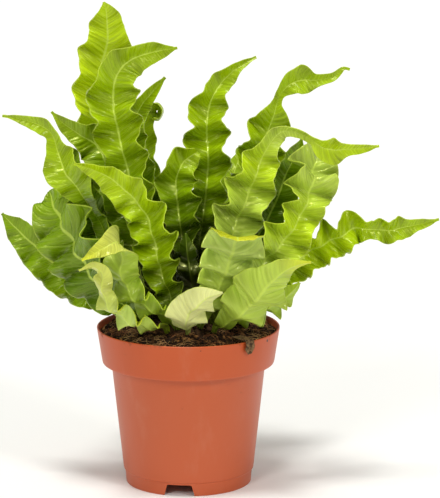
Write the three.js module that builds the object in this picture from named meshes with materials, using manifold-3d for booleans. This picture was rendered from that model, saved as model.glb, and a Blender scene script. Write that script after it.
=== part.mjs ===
// A crisped bird's nest fern growing in a thin-walled nursery pot.
// Millimetres, +Z up. The origin is the centre of the circle that the pot stands on,
// -Y is the front of the plant and +X is its right-hand side.

import * as THREE from 'three';
import { mergeVertices } from 'three/addons/utils/BufferGeometryUtils.js';
import Module from 'manifold-3d';

const wasm = await Module();
wasm.setup();

// ---------- driving dimensions ----------

const clearance = 0.3; // between touching pieces
const overcut = 1; // how far a cutter runs past the wall that it cuts
const weldDistance = 1e-4;

const pot = {
  sides: 36,
  height: 104.5,
  rimRadius: 60,
  bandFootRadius: 56.6,
  bandHeight: 22.5,
  ledgeDrop: 1.6,
  bodyTopRadius: 50.6,
  bodyFootRadius: 42.9,
  footRadius: 41.9,
  footHeight: 8.6,
  footTaper: 0.7,
  footStep: 0.8, // height over which the body steps in to the foot
  wall: 1.3,
  floor: 1.6,
  lipRound: 0.5,
};

const notch = { count: 3, firstAngle: -8, topWidth: 16, footWidth: 20, height: 7.6, reach: 4 };
const drainHole = { count: 5, radius: 4.5, ring: 25, sides: 12 };

const soil = { sides: 24, edgeDepth: 4.2, heap: 3.6, lump: 1.5, lumpBias: 0.2, rings: 4, seed: 11 };
const crown = {
  sides: 20,
  radius: 30,
  depth: 11,
  shoulder: 2.5, // rise from its rim to its flat top
  topRadius: 26,
  dome: 4, // rise from there to the middle
  domeShoulder: 2.8, // rise reached at half the radius
};
const stalkHole = { radius: 3.1, sides: 6, depth: 0.6, reach: 30 };

const blade = {
  thickness: 1.15,
  tipHalfWidth: 1,
  stalkThickness: 2.8,
  stalkEdge: 1.6,
  ribThickness: 2.1,
  ribFade: 0.7, // how fast the rib thins towards the tip
  stalkShare: 0.07, // of the frond's length, before the waves start
  stalkRows: 3,
  rowsPerWave: 4,
  cells: 2, // on each side of the midrib
  cup: 22, // degrees that each half leans to the upper face
  cupRise: 6, // 1 over the share of the frond in which that lean sets in
  growth: 0.6, // how fast the waves grow from midrib to margin
  skew: 60, // degrees a crest runs ahead of its margin, so crests slant to the tip
  rightShift: 90, // degrees between the waves of the two margins
  lobe: 0.16, // how much wider the blade is where a wave turns away from the crown
  coarseBelow: 3.2, // mm of wave height under which rows stand half as close
  frames: 120,
  samples: 600,
};

// Each frond is a path of hand-placed stations from its foot in the crown to its tip:
// [x, y, z, half-width, turn, ruffle], with turn and ruffle in degrees.
// heading turns its blade about Z: at 180 the upper face looks to the front, at 0 the underside.
// cup and shift, where a frond has them, stand in for the blade's own cup and rightShift.
const fronds = [
  {
    name: 'frond_tall_left', heading: 180, waves: 9, phase: 0, cup: 14,
    path: [
      [-13.5, 21, 96, 2, 0, 0],
      [-15, 23, 109, 2.2, 0, 0],
      [-17, 30, 125, 6, 0, 30],
      [-31, 38, 157, 10, 0, 45],
      [-49.5, 43, 193.5, 13, 0, 45],
      [-59.5, 46, 233, 15.5, 0, 32],
      [-58, 47, 265, 16.5, 0, 18],
      [-53.5, 46, 285, 15.5, 0, 10],
      [-53.5, 45, 298.5, 11, 0, 3],
      [-54, 44.5, 306.5, 6, 0, 0],
      [-55.5, 44, 312, 0.3, 0, 0],
    ],
  },
  {
    name: 'frond_bent_tip', heading: 180, waves: 9, phase: 0, cup: 20,
    path: [
      [-7.5, -4, 96, 2, 0, 0],
      [-8, -4.5, 109, 2.2, 0, 0],
      [-12, -4, 132.5, 6, 0, 30],
      [-26.5, -5, 166, 10, 0, 50],
      [-38, -5, 205.5, 14, 0, 55],
      [-44.5, -5, 232, 16, 0, 45],
      [-48, -5, 253.5, 16.5, 0, 35],
      [-46, -6, 270, 15, 0, 20],
      [-37, -8, 281, 11, 0, 8],
      [-23, -10, 286.5, 8, 0, 3],
      [-6.5, -11, 289.5, 0.3, 0, 0],
    ],
  },
  {
    name: 'frond_left_point', heading: 180, waves: 7, phase: 0, cup: 18,
    path: [
      [-13.5, 10.5, 96, 2, 0, 0],
      [-15, 11.5, 109, 2.2, 0, 0],
      [-22, 5, 130.5, 5.5, 0, 30],
      [-37, 7, 163.5, 10, 0, 50],
      [-49.5, 10, 201, 13, 0, 40],
      [-58.5, 12, 220.5, 13, 0, 22],
      [-70.5, 13, 229, 9, 0, 10],
      [-82, 14, 237, 4, 0, 2],
      [-89, 14, 244, 0.3, 0, 0],
    ],
  },
  {
    name: 'frond_lime_arch', heading: 180, waves: 8, phase: 0, cup: 22,
    path: [
      [-14, -10, 96, 2, 0, 0],
      [-15.5, -11, 109, 2.2, 0, 0],
      [-11, -20, 126, 8, 0, 50],
      [-17.5, -25, 147, 12, 0, 56],
      [-21.5, -29, 167.5, 15, 0, 56],
      [-27.5, -31, 186.5, 13, 0, 45],
      [-40, -32, 201, 12.5, 0, 18],
      [-50.5, -32, 209.5, 9, 0, 5],
      [-62, -40, 216.5, 4.5, 0, 0],
      [-71.5, -46, 220.5, 0.3, 0, 0],
    ],
  },
  {
    name: 'frond_far_left', heading: 180, waves: 9, phase: 0, cup: 20,
    path: [
      [-17, 0.5, 96, 2, 0, 0],
      [-18.5, 0.5, 109, 2.2, 0, 0],
      [-27.5, -4, 124, 6, 0, 30],
      [-43.5, -5, 148, 8, 0, 45],
      [-52, -4, 162.5, 7, 0, 40],
      [-58, -3, 175.5, 5, 0, 20],
      [-64.5, -18, 189.5, 5.5, 0, 10],
      [-71, -33, 203.5, 10.5, 0, 12],
      [-78.5, -35, 214.5, 13.5, 0, 16],
      [-82.5, -28, 225, 9, 0, 10],
      [-86.5, -26, 236, 4.5, 0, 0],
      [-94, -24, 241.5, 6, 0, 0],
      [-106, -22, 245, 3, 0, 0],
      [-118.5, -20, 247, 0.3, 0, 0],
    ],
  },
  {
    name: 'frond_left_inner', heading: 180, waves: 6, phase: 90,
    path: [
      [-22, 12, 96, 2, 0, 0],
      [-24, 13, 109, 2.2, 0, 0],
      [-28.5, 16, 124.5, 6, 0, 30],
      [-47, 20, 154, 12, 0, 45],
      [-64.5, 22, 180.5, 14, 0, 45],
      [-77.5, 22, 201.5, 13, 0, 36],
      [-84.5, 22, 215.5, 9, 0, 15],
      [-87.5, 22, 223.5, 1, 0, 0],
    ],
  },
  {
    name: 'frond_left_wide', heading: 180, waves: 6.5, phase: 0, cup: 12,
    path: [
      [-22, -11.5, 96, 2, 0, 0],
      [-27.5, -14.5, 109, 2.2, 0, 0],
      [-34.5, -23, 118, 8, 0, 28],
      [-51, -28, 132, 14, -12, 34],
      [-64, -28, 147.5, 20.5, -18, 30],
      [-73.5, -22, 163, 24.5, -18, 24],
      [-81.5, -11, 176, 24, -15, 18],
      [-87, -2, 184.5, 18, -2, 8],
      [-88.5, 1, 190, 11, -6, 3],
      [-90.5, 5, 193, 0.3, 0, 0],
    ],
  },
  {
    name: 'frond_left_low', heading: 180, waves: 7, phase: 90, cup: 6,
    path: [
      [-24.5, 5, 96, 2, 0, 0],
      [-27, 5.5, 109, 2.2, 0, 0],
      [-33.5, 5, 113, 5.5, 0, 24],
      [-54, 4, 123.5, 11.5, 0, 34],
      [-73, 5, 132, 15, 0, 36],
      [-89.5, 8, 145.5, 15.5, 0, 28],
      [-103, 10, 158, 12.5, 0, 18],
      [-114, 11, 168.5, 7, 0, 5],
      [-122, 12, 177, 0.3, 0, 0],
    ],
  },
  {
    name: 'frond_front_left', heading: 0, waves: 6, phase: 0,
    path: [
      [-6, -16, 96, 2, 0, 0],
      [-8, -21.5, 109, 2.2, 0, 0],
      [-16, -31, 118.5, 6.5, 0, 40],
      [-29, -41, 127, 9.5, 0, 56],
      [-38.5, -47, 139, 11, 0, 52],
      [-42.5, -49, 151, 11.5, 0, 32],
      [-41.5, -51, 161, 11, -15, 10],
      [-44, -57, 171.5, 10.5, -60, 0],
      [-50, -62, 170.5, 8, -63, 0],
      [-58, -64, 166.5, 4, -63, 0],
      [-66.5, -65, 162, 0.3, -63, 0],
    ],
  },
  {
    name: 'frond_rim_left', heading: 0, waves: 6, phase: 0,
    path: [
      [-12.5, -21.5, 96, 2, 0, 0],
      [-14.5, -24.5, 109, 2.2, 0, 0],
      [-21, -37, 111, 5, 0, 35],
      [-33, -47, 116, 8, 0, 60],
      [-47.5, -54, 126.5, 8, 0, 58],
      [-54, -58, 139.5, 7, 0, 36],
      [-53.5, -60, 151.5, 6, 0, 12],
      [-59.5, -61, 157, 3.5, 0, 0],
      [-68.5, -62, 154.5, 0.3, 0, 0],
    ],
  },
  {
    name: 'frond_young_front', heading: 0, waves: 3.5, phase: 0, shift: 40,
    path: [
      [0, -25, 96, 2, 0, 0],
      [0, -28.5, 109, 2.2, 0, 0],
      [-1, -39, 110.5, 7, 0, 16],
      [-1, -47, 118, 12.5, 0, 34],
      [3, -54, 126.5, 14.5, 0, 26],
      [12, -58, 135.5, 9.5, 0, 10],
      [22.5, -60, 140, 0.3, 0, 0],
    ],
  },
  {
    name: 'frond_tall_centre', heading: 180, waves: 9, phase: 280, cup: 22,
    path: [
      [4.5, 16.5, 96, 2, 0, 0],
      [5, 18, 109, 2.2, 0, 0],
      [4, 20, 124, 6, 0, 30],
      [7, 23, 153.5, 9, 0, 45],
      [11, 26, 183, 12, 0, 55],
      [13, 28, 209.5, 15, 0, 55],
      [12, 29, 229.5, 15, 0, 50],
      [14, 30, 246, 12, 0, 40],
      [19.5, 31, 257.5, 8.5, 0, 20],
      [28.5, 31, 267.5, 5.5, 0, 5],
      [37, 31, 273.5, 2.5, 0, 0],
      [44.5, 31, 277.5, 0.3, 0, 0],
    ],
  },
  {
    name: 'frond_centre_left', heading: 180, waves: 7, phase: 0,
    path: [
      [0, 0, 96, 2, 0, 0],
      [0, 0, 109, 2.2, 0, 0],
      [0, 5, 127, 6, 0, 30],
      [-3.5, 10, 156, 10, 0, 50],
      [-6.5, 12, 179, 13, 0, 50],
      [-8, 12, 198, 12, 0, 40],
      [-3.5, 12, 210.5, 9, 0, 26],
      [6, 12, 218, 1, 0, 0],
    ],
  },
  {
    name: 'frond_right_twist', heading: 180, waves: 10, phase: 0,
    path: [
      [7.5, 4.5, 96, 2, 0, 0],
      [8, 5, 109, 2.2, 0, 0],
      [12, 9, 126, 6, 0, 30],
      [24.5, 12, 156, 10, 0, 45],
      [37, 13, 185.5, 13, 0, 55],
      [45, 13, 209, 15.5, 0, 55],
      [50.5, 13, 227, 14.5, 0, 40],
      [56, 13, 242.5, 10.5, 0, 12],
      [58, 13, 250.5, 3.6, 0, 0],
      [61, 13, 257, 3.8, 0, 0],
      [67.5, 13, 263, 8.5, 0, 8],
      [75.5, 13, 265, 9.5, 0, 12],
      [83.5, 13, 265, 5, 0, 4],
      [94, 13, 267, 3, 0, 0],
      [100.5, 13, 272.5, 1.4, 0, 0],
      [105, 13, 272, 0.3, 0, 0],
    ],
  },
  {
    name: 'frond_right_ball', heading: 180, waves: 10, phase: 0, shift: 25,
    path: [
      [17, 1.5, 96, 2, 0, 0],
      [18.5, 1.5, 109, 2.2, 0, 0],
      [17, -3, 122, 7, 0, 30],
      [23.5, -8, 148.5, 13, 0, 48],
      [30.5, -12, 173.5, 17, 0, 50],
      [38, -14, 192, 17, 0, 50],
      [44.5, -15, 209.5, 15.5, 0, 44],
      [50.5, -16, 224.5, 9, 0, 18],
      [60, -17, 236, 5, 0, 4],
      [70.5, -20, 236, 3.6, 0, 0],
      [79.5, -23, 232, 3, 0, 0],
      [86.5, -25, 227.5, 8, 0, 6],
      [93.5, -26, 226, 9.5, 0, 8],
      [101.5, -26, 226.5, 5.5, 0, 0],
      [111.5, -26, 227, 3.5, 0, 0],
      [122.5, -26, 228.5, 0.3, 0, 0],
    ],
  },
  {
    name: 'frond_right_back', heading: 180, waves: 6.5, phase: 90,
    path: [
      [13, 11, 96, 2, 0, 0],
      [14.5, 12, 109, 2.2, 0, 0],
      [23.5, 15, 128.5, 6, 0, 30],
      [42, 20, 154, 9, 0, 45],
      [56.5, 24, 180, 11, 0, 45],
      [64, 26, 200, 9, 0, 30],
      [70.5, 27, 213, 5, 0, 6],
      [74.5, 27, 224, 0.3, 0, 0],
    ],
  },
  {
    name: 'frond_right_face', heading: 180, waves: 9, phase: 0, shift: 25,
    path: [
      [14.5, -8.5, 96, 2, 0, 0],
      [16, -9.5, 109, 2.2, 0, 0],
      [23.5, -15, 119.5, 7, 0, 30],
      [38, -20, 137.5, 12, 0, 45],
      [51.5, -24, 155, 16, 0, 48],
      [63, -27, 168, 17, 0, 44],
      [72, -25, 182, 12, 0, 40],
      [76, -23, 190.5, 14.5, 0, 46],
      [79.5, -19, 200.5, 17, 0, 46],
      [81, -10, 210, 16.5, 0, 28],
      [83, -2, 215, 14, 0, 12],
      [85, 6, 216, 9, 0, 0],
      [86, 13, 213, 0.3, 0, 0],
    ],
  },
  {
    name: 'frond_far_right', heading: 180, waves: 10, phase: 0,
    path: [
      [25, -1, 96, 2, 0, 0],
      [27.5, -1, 109, 2.2, 0, 0],
      [32.5, -2, 118, 7, 0, 30],
      [49.5, -4, 133, 12, 0, 45],
      [67.5, -5, 146.5, 14, 0, 49],
      [83, -5, 157.5, 14, 0, 49],
      [97.5, -5, 164.5, 13, 0, 49],
      [109, -5, 170.5, 11, 0, 44],
      [121, -5, 169.5, 7, 0, 30],
      [132.5, -5, 169.5, 9, 0, 30],
      [144, -5, 172, 6, 0, 10],
      [154.5, -5, 174, 3, 0, 0],
      [163, -5, 176.5, 0.3, 0, 0],
    ],
  },
  {
    name: 'frond_front_fold', heading: 0, waves: 6, phase: 0, shift: 25,
    path: [
      [6.5, -16, 96, 2, 0, 0],
      [8, -19, 109, 2.2, 0, 0],
      [13, -28, 124.5, 9, 0, 28],
      [21.5, -38, 141.5, 15, 0, 32],
      [26.5, -45, 155.5, 18, 0, 30],
      [29.5, -50, 167, 19, 0, 22],
      [31, -55, 173.5, 18.5, 0, 12],
      [31.5, -61, 176, 15.5, 0, 0],
      [32, -66, 174.5, 11, 0, 0],
    ],
  },
  {
    name: 'frond_front_right', heading: 0, waves: 4.5, phase: 0, shift: 30,
    path: [
      [15, -19, 96, 2, 0, 0],
      [18, -23, 109, 2.2, 0, 0],
      [22.5, -30, 111, 6, 0, 20],
      [31.5, -40, 119.5, 14, -4, 32],
      [39.5, -47, 127.5, 18.5, -8, 30],
      [45.5, -52, 136, 19.5, -10, 24],
      [52, -56, 144, 16, -8, 14],
      [60, -58, 152.5, 9, -4, 4],
      [69.5, -58, 157.5, 4, 0, 0],
      [78.5, -57, 159, 0.3, 0, 0],
    ],
  },
  {
    name: 'frond_low_right', heading: 0, waves: 5.5, phase: 0,
    path: [
      [21, -13.5, 96, 2, 0, 0],
      [25, -16, 109, 2.2, 0, 0],
      [30, -20, 111.5, 7, 0, 30],
      [44, -28, 119.5, 11, 0, 44],
      [56, -33, 127, 11.5, 0, 38],
      [66, -33, 133.5, 7, 0, 14],
      [72, -33, 140.5, 0.3, 0, 0],
    ],
  },
  {
    name: 'frond_spike_tip', heading: 180, waves: 7.5, phase: 90,
    path: [
      [-8.5, 5, 96, 2, 0, 0],
      [-9.5, 5.5, 109, 2.2, 0, 0],
      [-11, 13, 125.5, 5, 0, 28],
      [-22, 19, 164.5, 9, 0, 45],
      [-31.5, 20, 201, 10, 0, 40],
      [-37.5, 20, 226.5, 10, 0, 30],
      [-31.5, 19, 245.5, 6.5, 0, 12],
      [-23.5, 19, 256, 4.5, 0, 0],
      [-15, 19, 266, 0.3, 0, 0],
    ],
  },
  {
    name: 'frond_coil_tip', heading: 180, waves: 8, phase: 0,
    path: [
      [-6, 16, 96, 2, 0, 0],
      [-6.5, 17.5, 109, 2.2, 0, 0],
      [-7.5, 20, 124, 5, 0, 30],
      [-15, 25, 153, 7, 0, 45],
      [-22, 30, 182.5, 8, 0, 45],
      [-26.5, 33, 205.5, 6.5, 0, 40],
      [-28.5, 34, 225, 6, 0, 20],
      [-29, 34, 237, 5, 20, 0],
      [-26, 34, 244.5, 4.6, 50, 0],
      [-20, 33.5, 246.5, 4.2, 66, 0],
      [-16.5, 33, 241.5, 3.6, 68, 0],
      [-19.5, 32, 235.5, 3, 68, 0],
      [-24, 30.5, 236.5, 2, 68, 0],
    ],
  },
  {
    name: 'frond_inner_small', heading: 0, waves: 4, phase: 0,
    path: [
      [7.5, -4.5, 96, 2, 0, 0],
      [8, -5, 109, 2.2, 0, 0],
      [4.5, -9, 121.5, 5, 0, 30],
      [2, -12, 139, 7, 0, 50],
      [-0.5, -12, 155.5, 6, 0, 36],
      [-1.5, -11, 168.5, 0.5, 0, 0],
    ],
  },
  {
    name: 'frond_back_right', heading: 150, waves: 7.5, phase: 0,
    path: [
      [13.5, 21, 96, 2, 0, 0],
      [15, 23, 109, 2.2, 0, 0],
      [22, 35, 120.5, 6, 0, 30],
      [38, 52, 140.5, 13, 0, 50],
      [51.5, 62, 157, 15, 0, 45],
      [62.5, 70, 172, 13, 0, 30],
      [70.5, 76, 183, 7, 0, 6],
      [75, 80, 192, 0.3, 0, 0],
    ],
  },
  {
    name: 'frond_back', heading: 180, waves: 7.5, phase: 0,
    path: [
      [4.5, 25, 96, 2, 0, 0],
      [5, 27.5, 109, 2.2, 0, 0],
      [6.5, 48, 121, 6.5, 0, 30],
      [14, 61, 145.5, 12, 0, 50],
      [22, 72, 167.5, 15, 0, 45],
      [28, 84, 184.5, 13, 0, 30],
      [32.5, 94, 195.5, 6, 0, 6],
      [34.5, 100, 203.5, 0.3, 0, 0],
    ],
  },
  {
    name: 'frond_back_left', heading: 210, waves: 7.5, phase: 90,
    path: [
      [-5, 24.5, 96, 2, 0, 0],
      [-5.5, 27, 109, 2.2, 0, 0],
      [-14, 42, 122.5, 7, 0, 30],
      [-25, 56, 146.5, 13, 0, 50],
      [-36.5, 68, 168, 16, 0, 45],
      [-47, 80, 185, 13, 0, 30],
      [-54, 90, 195, 6, 0, 6],
      [-59, 96, 203, 0.3, 0, 0],
    ],
  },
];

// ---------- small helpers ----------

const radians = THREE.MathUtils.degToRad;
const { lerp } = THREE.MathUtils;

function material(colour, roughness) {
  return new THREE.MeshStandardMaterial({ color: colour, roughness, metalness: 0 });
}

function seededRandom(seed) {
  let state = seed;
  return () => {
    state = (state * 16807) % 2147483647;
    return state / 2147483647;
  };
}

// The same shape with one shared point at each corner.
function welded(geometry) {
  const bare = geometry.clone();
  bare.deleteAttribute('normal');
  bare.deleteAttribute('uv');
  return mergeVertices(bare, weldDistance);
}

function toManifold(geometry) {
  const merged = welded(geometry);
  return new wasm.Manifold(
    new wasm.Mesh({
      numProp: 3,
      vertProperties: new Float32Array(merged.attributes.position.array),
      triVerts: new Uint32Array(merged.index.array),
    })
  );
}

function fromManifold(solid) {
  const mesh = solid.getMesh();
  return indexedGeometry(mesh.vertProperties, mesh.triVerts);
}

function indexedGeometry(positions, indices) {
  const geometry = new THREE.BufferGeometry();
  geometry.setAttribute('position', new THREE.Float32BufferAttribute(positions, 3));
  geometry.setIndex([...indices]);
  geometry.computeVertexNormals();
  return geometry;
}

// A profile of [radius, height] pairs turned about Z.
function turned(profile, sides) {
  const points = profile.map(([radius, height]) => new THREE.Vector2(radius, height));
  return new THREE.LatheGeometry(points, sides).rotateX(Math.PI / 2);
}

// ---------- pot ----------

const floorUnder = pot.footHeight;
const floorTop = floorUnder + pot.floor;
const bandFoot = pot.height - pot.bandHeight;
const ledgeUnder = bandFoot - pot.ledgeDrop;

function potProfile() {
  const { wall, lipRound } = pot;
  return [
    [0, floorUnder],
    [pot.footRadius - wall, floorUnder],
    [pot.footRadius - pot.footTaper - wall, 0],
    [pot.footRadius - pot.footTaper, 0],
    [pot.footRadius, pot.footHeight],
    [pot.bodyFootRadius, pot.footHeight + pot.footStep],
    [pot.bodyTopRadius, ledgeUnder],
    [pot.bandFootRadius - lipRound, ledgeUnder + lipRound],
    [pot.bandFootRadius, bandFoot],
    [pot.rimRadius, pot.height - lipRound],
    [pot.rimRadius - lipRound, pot.height],
    [pot.rimRadius - wall, pot.height - lipRound],
    [pot.bandFootRadius - wall, bandFoot + wall],
    [pot.bodyTopRadius - wall, ledgeUnder + wall],
    [pot.bodyFootRadius - wall, floorTop],
    [0, floorTop],
  ];
}

// One drain notch, a trapezium wider at the table, cut through the foot ring.
function notchCutter(angle) {
  const slope = (notch.footWidth - notch.topWidth) / 2 / notch.height;
  const foot = notch.footWidth / 2 + slope * overcut;
  const top = notch.topWidth / 2;
  const outline = new THREE.Shape([
    new THREE.Vector2(-foot, -overcut),
    new THREE.Vector2(foot, -overcut),
    new THREE.Vector2(top, notch.height),
    new THREE.Vector2(-top, notch.height),
  ]);
  const depth = 2 * notch.reach;
  return new THREE.ExtrudeGeometry(outline, { depth, bevelEnabled: false })
    .rotateX(Math.PI / 2)
    .translate(0, notch.reach - pot.footRadius, 0)
    .rotateZ(radians(angle));
}

function drainCutter(angle) {
  const { radius, ring, sides } = drainHole;
  return new THREE.CylinderGeometry(radius, radius, pot.floor + 2 * overcut, sides)
    .rotateX(Math.PI / 2)
    .translate(0, -ring, floorUnder + pot.floor / 2)
    .rotateZ(radians(angle));
}

function makePot() {
  let solid = toManifold(turned(potProfile(), pot.sides));
  for (let i = 0; i < notch.count; i += 1) {
    const angle = notch.firstAngle + (i * 360) / notch.count;
    solid = solid.subtract(toManifold(notchCutter(angle)));
  }
  for (let i = 0; i < drainHole.count; i += 1) {
    solid = solid.subtract(toManifold(drainCutter((i * 360) / drainHole.count)));
  }
  return fromManifold(solid);
}

// ---------- soil and crown ----------

const soilEdge = pot.height - soil.edgeDepth;
const crownTop = soilEdge + soil.heap + crown.shoulder;
const crownFoot = crownTop - crown.shoulder - crown.depth;
const pocketRadius = crown.radius + clearance;

// Radius inside the rim band's wall at a height, less the clearance.
function insideBand(height) {
  const low = bandFoot + pot.wall;
  const high = pot.height - pot.lipRound;
  const outer = lerp(pot.bandFootRadius, pot.rimRadius, (height - low) / (high - low));
  return outer - pot.wall - clearance;
}

function makeSoil() {
  const edge = insideBand(soilEdge);
  const top = [];
  for (let ring = 0; ring <= soil.rings; ring += 1) {
    const share = ring / soil.rings;
    const rise = soil.heap * Math.cos((share * Math.PI) / 2);
    top.push([pocketRadius + (edge - pocketRadius) * share, soilEdge + rise]);
  }
  const profile = [
    [0, crownFoot - clearance],
    [pocketRadius, crownFoot - clearance],
    ...top,
    [pot.bandFootRadius - pot.wall - clearance, bandFoot + pot.wall + clearance],
    [pot.bodyTopRadius - pot.wall - clearance, ledgeUnder + pot.wall + clearance],
    [pot.bodyFootRadius - pot.wall - clearance, floorTop + clearance],
    [0, floorTop + clearance],
  ].reverse();
  const geometry = welded(turned(profile, soil.sides));
  raiseLumps(geometry, edge);
  return geometry;
}

// Lumps and hollows on the top of the soil, none at the wall or at the crown's pocket.
function raiseLumps(geometry, edge) {
  const random = seededRandom(soil.seed);
  const position = geometry.attributes.position;
  for (let i = 0; i < position.count; i += 1) {
    const radius = Math.hypot(position.getX(i), position.getY(i));
    const onTop = position.getZ(i) > soilEdge - clearance;
    if (onTop && radius > pocketRadius + clearance && radius < edge - clearance) {
      const share = 2 * random() - 1 + soil.lumpBias;
      position.setZ(i, position.getZ(i) + soil.lump * share);
    }
  }
}

function makeCrown() {
  const profile = [
    [0, crownFoot],
    [crown.radius, crownFoot],
    [crown.radius, crownTop - crown.shoulder],
    [crown.topRadius, crownTop],
    [crown.radius / 2, crownTop + crown.domeShoulder],
    [0, crownTop + crown.dome],
  ];
  let solid = toManifold(turned(profile, crown.sides));
  for (const frond of fronds) {
    solid = solid.subtract(toManifold(stalkCutter(frond)));
  }
  return fromManifold(solid);
}

// ---------- fronds ----------

// A smooth curve through the stations, the widths and angles carried along with the place.
function stationAt(path, share) {
  const last = path.length - 1;
  const place = Math.min(share * last, last - 1e-9);
  const span = Math.floor(place);
  const t = place - span;
  const before = path[Math.max(span - 1, 0)];
  const from = path[span];
  const to = path[span + 1];
  const after = path[Math.min(span + 2, last)];
  return from.map((value, k) => {
    const slopeIn = (to[k] - before[k]) / 2;
    const slopeOut = (after[k] - value) / 2;
    const rise = to[k] - value;
    const bend = 3 * rise - 2 * slopeIn - slopeOut;
    const turn = slopeIn + slopeOut - 2 * rise;
    return value + t * (slopeIn + t * (bend + t * turn));
  });
}

// Frames spaced evenly along the midrib: place, tangent, side and upward normal.
function midribFrames(frond) {
  const fine = blade.samples;
  const stations = [];
  const lengths = [0];
  for (let i = 0; i <= fine; i += 1) {
    stations.push(stationAt(frond.path, i / fine));
    if (i > 0) {
      const step = [0, 1, 2].map((k) => stations[i][k] - stations[i - 1][k]);
      lengths.push(lengths[i - 1] + Math.hypot(...step));
    }
  }
  const frames = [];
  let j = 0;
  for (let i = 0; i <= blade.frames; i += 1) {
    const wanted = (lengths[fine] * i) / blade.frames;
    while (j < fine - 1 && lengths[j + 1] < wanted) {
      j += 1;
    }
    const share = (wanted - lengths[j]) / (lengths[j + 1] - lengths[j]);
    const row = stations[j].map((value, k) => value + share * (stations[j + 1][k] - value));
    frames.push({
      place: new THREE.Vector3(row[0], row[1], row[2]),
      halfWidth: Math.max(row[3], blade.tipHalfWidth),
      turn: radians(row[4]),
      ruffle: radians(row[5]),
    });
  }
  carrySides(frames, radians(frond.heading));
  return frames;
}

// The side direction is carried up the midrib without spin, then turned by each station.
function carrySides(frames, heading) {
  const side = new THREE.Vector3(Math.cos(heading), Math.sin(heading), 0);
  const last = frames.length - 1;
  frames.forEach((frame, i) => {
    const tangent = frames[Math.min(i + 1, last)].place
      .clone()
      .sub(frames[Math.max(i - 1, 0)].place)
      .normalize();
    side.addScaledVector(tangent, -side.dot(tangent)).normalize();
    frame.tangent = tangent;
    frame.side = side.clone().applyAxisAngle(tangent, frame.turn);
    frame.normal = tangent.clone().cross(frame.side);
  });
}

function frameAt(frames, share) {
  const place = Math.min(Math.max(share, 0), 1) * (frames.length - 1);
  const low = Math.min(Math.floor(place), frames.length - 2);
  const t = place - low;
  const from = frames[low];
  const to = frames[low + 1];
  const mixed = {};
  for (const key of ['place', 'tangent', 'side', 'normal']) {
    mixed[key] = from[key].clone().lerp(to[key], t);
  }
  for (const key of ['halfWidth', 'ruffle']) {
    mixed[key] = from[key] + t * (to[key] - from[key]);
  }
  return mixed;
}

// Places across one row, from the left margin over the midrib to the right margin.
// Each half swings about the midrib by an angle that waves along the frond.
function rowAcross(frame, share, frond, cells) {
  const along = Math.max(share - blade.stalkShare, 0) / (1 - blade.stalkShare);
  const phase = 2 * Math.PI * frond.waves * along + radians(frond.phase);
  const cup = radians(frond.cup ?? blade.cup) * Math.min(1, along * blade.cupRise);
  const halves = [-1, 1].map((hand) => {
    const shift = hand > 0 ? radians(frond.shift ?? blade.rightShift) : 0;
    const places = [];
    let place = frame.place.clone();
    for (let cell = 0; cell < cells; cell += 1) {
      const out = (cell + 0.5) / cells;
      const lead = radians(blade.skew) * (1 - out);
      const wave = Math.sin(phase + shift + lead) * out ** blade.growth;
      const swing = cup + frame.ruffle * wave;
      const step = (frame.halfWidth / cells) * (1 - blade.lobe * wave);
      place = place
        .clone()
        .addScaledVector(frame.side, hand * step * Math.cos(swing))
        .addScaledVector(frame.normal, step * Math.sin(swing));
      places.push(place);
    }
    return places;
  });
  return [...halves[0].reverse(), frame.place.clone(), ...halves[1]];
}

// Thickness at a column: thin at the margins, a raised rib in the middle, stout as a stalk.
function thicknessAt(column, columns, share) {
  const middle = column === (columns - 1) / 2;
  const stalk = Math.max(0, 1 - share / (2 * blade.stalkShare));
  const rib = lerp(blade.ribThickness, blade.thickness, share ** blade.ribFade);
  return middle
    ? lerp(rib, blade.stalkThickness, stalk)
    : lerp(blade.thickness, blade.stalkEdge, stalk);
}

// A closed ribbon between two faces that are split into triangles alike.
function ribbon(rows, thicknesses) {
  const count = rows.length;
  const columns = rows[0].length;
  const normals = gridNormals(rows);
  const positions = [];
  for (const face of [0.5, -0.5]) {
    for (let i = 0; i < count; i += 1) {
      for (let j = 0; j < columns; j += 1) {
        const at = rows[i][j].clone().addScaledVector(normals[i][j], face * thicknesses[i][j]);
        positions.push(at.x, at.y, at.z);
      }
    }
  }
  const upper = (i, j) => i * columns + j;
  const lower = (i, j) => count * columns + i * columns + j;
  const indices = [];
  for (let i = 0; i < count - 1; i += 1) {
    for (let j = 0; j < columns - 1; j += 1) {
      const flip = j < (columns - 1) / 2;
      const k = i + 1;
      indices.push(...quad(upper(i, j), upper(i, j + 1), upper(k, j + 1), upper(k, j), flip));
      indices.push(...quad(lower(i, j + 1), lower(i, j), lower(k, j), lower(k, j + 1), !flip));
    }
    const end = columns - 1;
    indices.push(...quad(lower(i, 0), upper(i, 0), upper(i + 1, 0), lower(i + 1, 0), false));
    indices.push(...quad(upper(i, end), lower(i, end), lower(i + 1, end), upper(i + 1, end), false));
  }
  for (let j = 0; j < columns - 1; j += 1) {
    const end = count - 1;
    indices.push(...quad(upper(0, j + 1), upper(0, j), lower(0, j), lower(0, j + 1), false));
    indices.push(...quad(upper(end, j), upper(end, j + 1), lower(end, j + 1), lower(end, j), false));
  }
  return indexedGeometry(positions, indices);
}

function quad(a, b, c, d, flip) {
  return flip ? [a, d, b, b, d, c] : [a, c, b, a, d, c];
}

function gridNormals(rows) {
  const last = rows.length - 1;
  const end = rows[0].length - 1;
  return rows.map((row, i) =>
    row.map((place, j) => {
      const along = rows[Math.min(i + 1, last)][j].clone().sub(rows[Math.max(i - 1, 0)][j]);
      const across = row[Math.min(j + 1, end)].clone().sub(row[Math.max(j - 1, 0)]);
      return along.cross(across).normalize();
    })
  );
}

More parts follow.
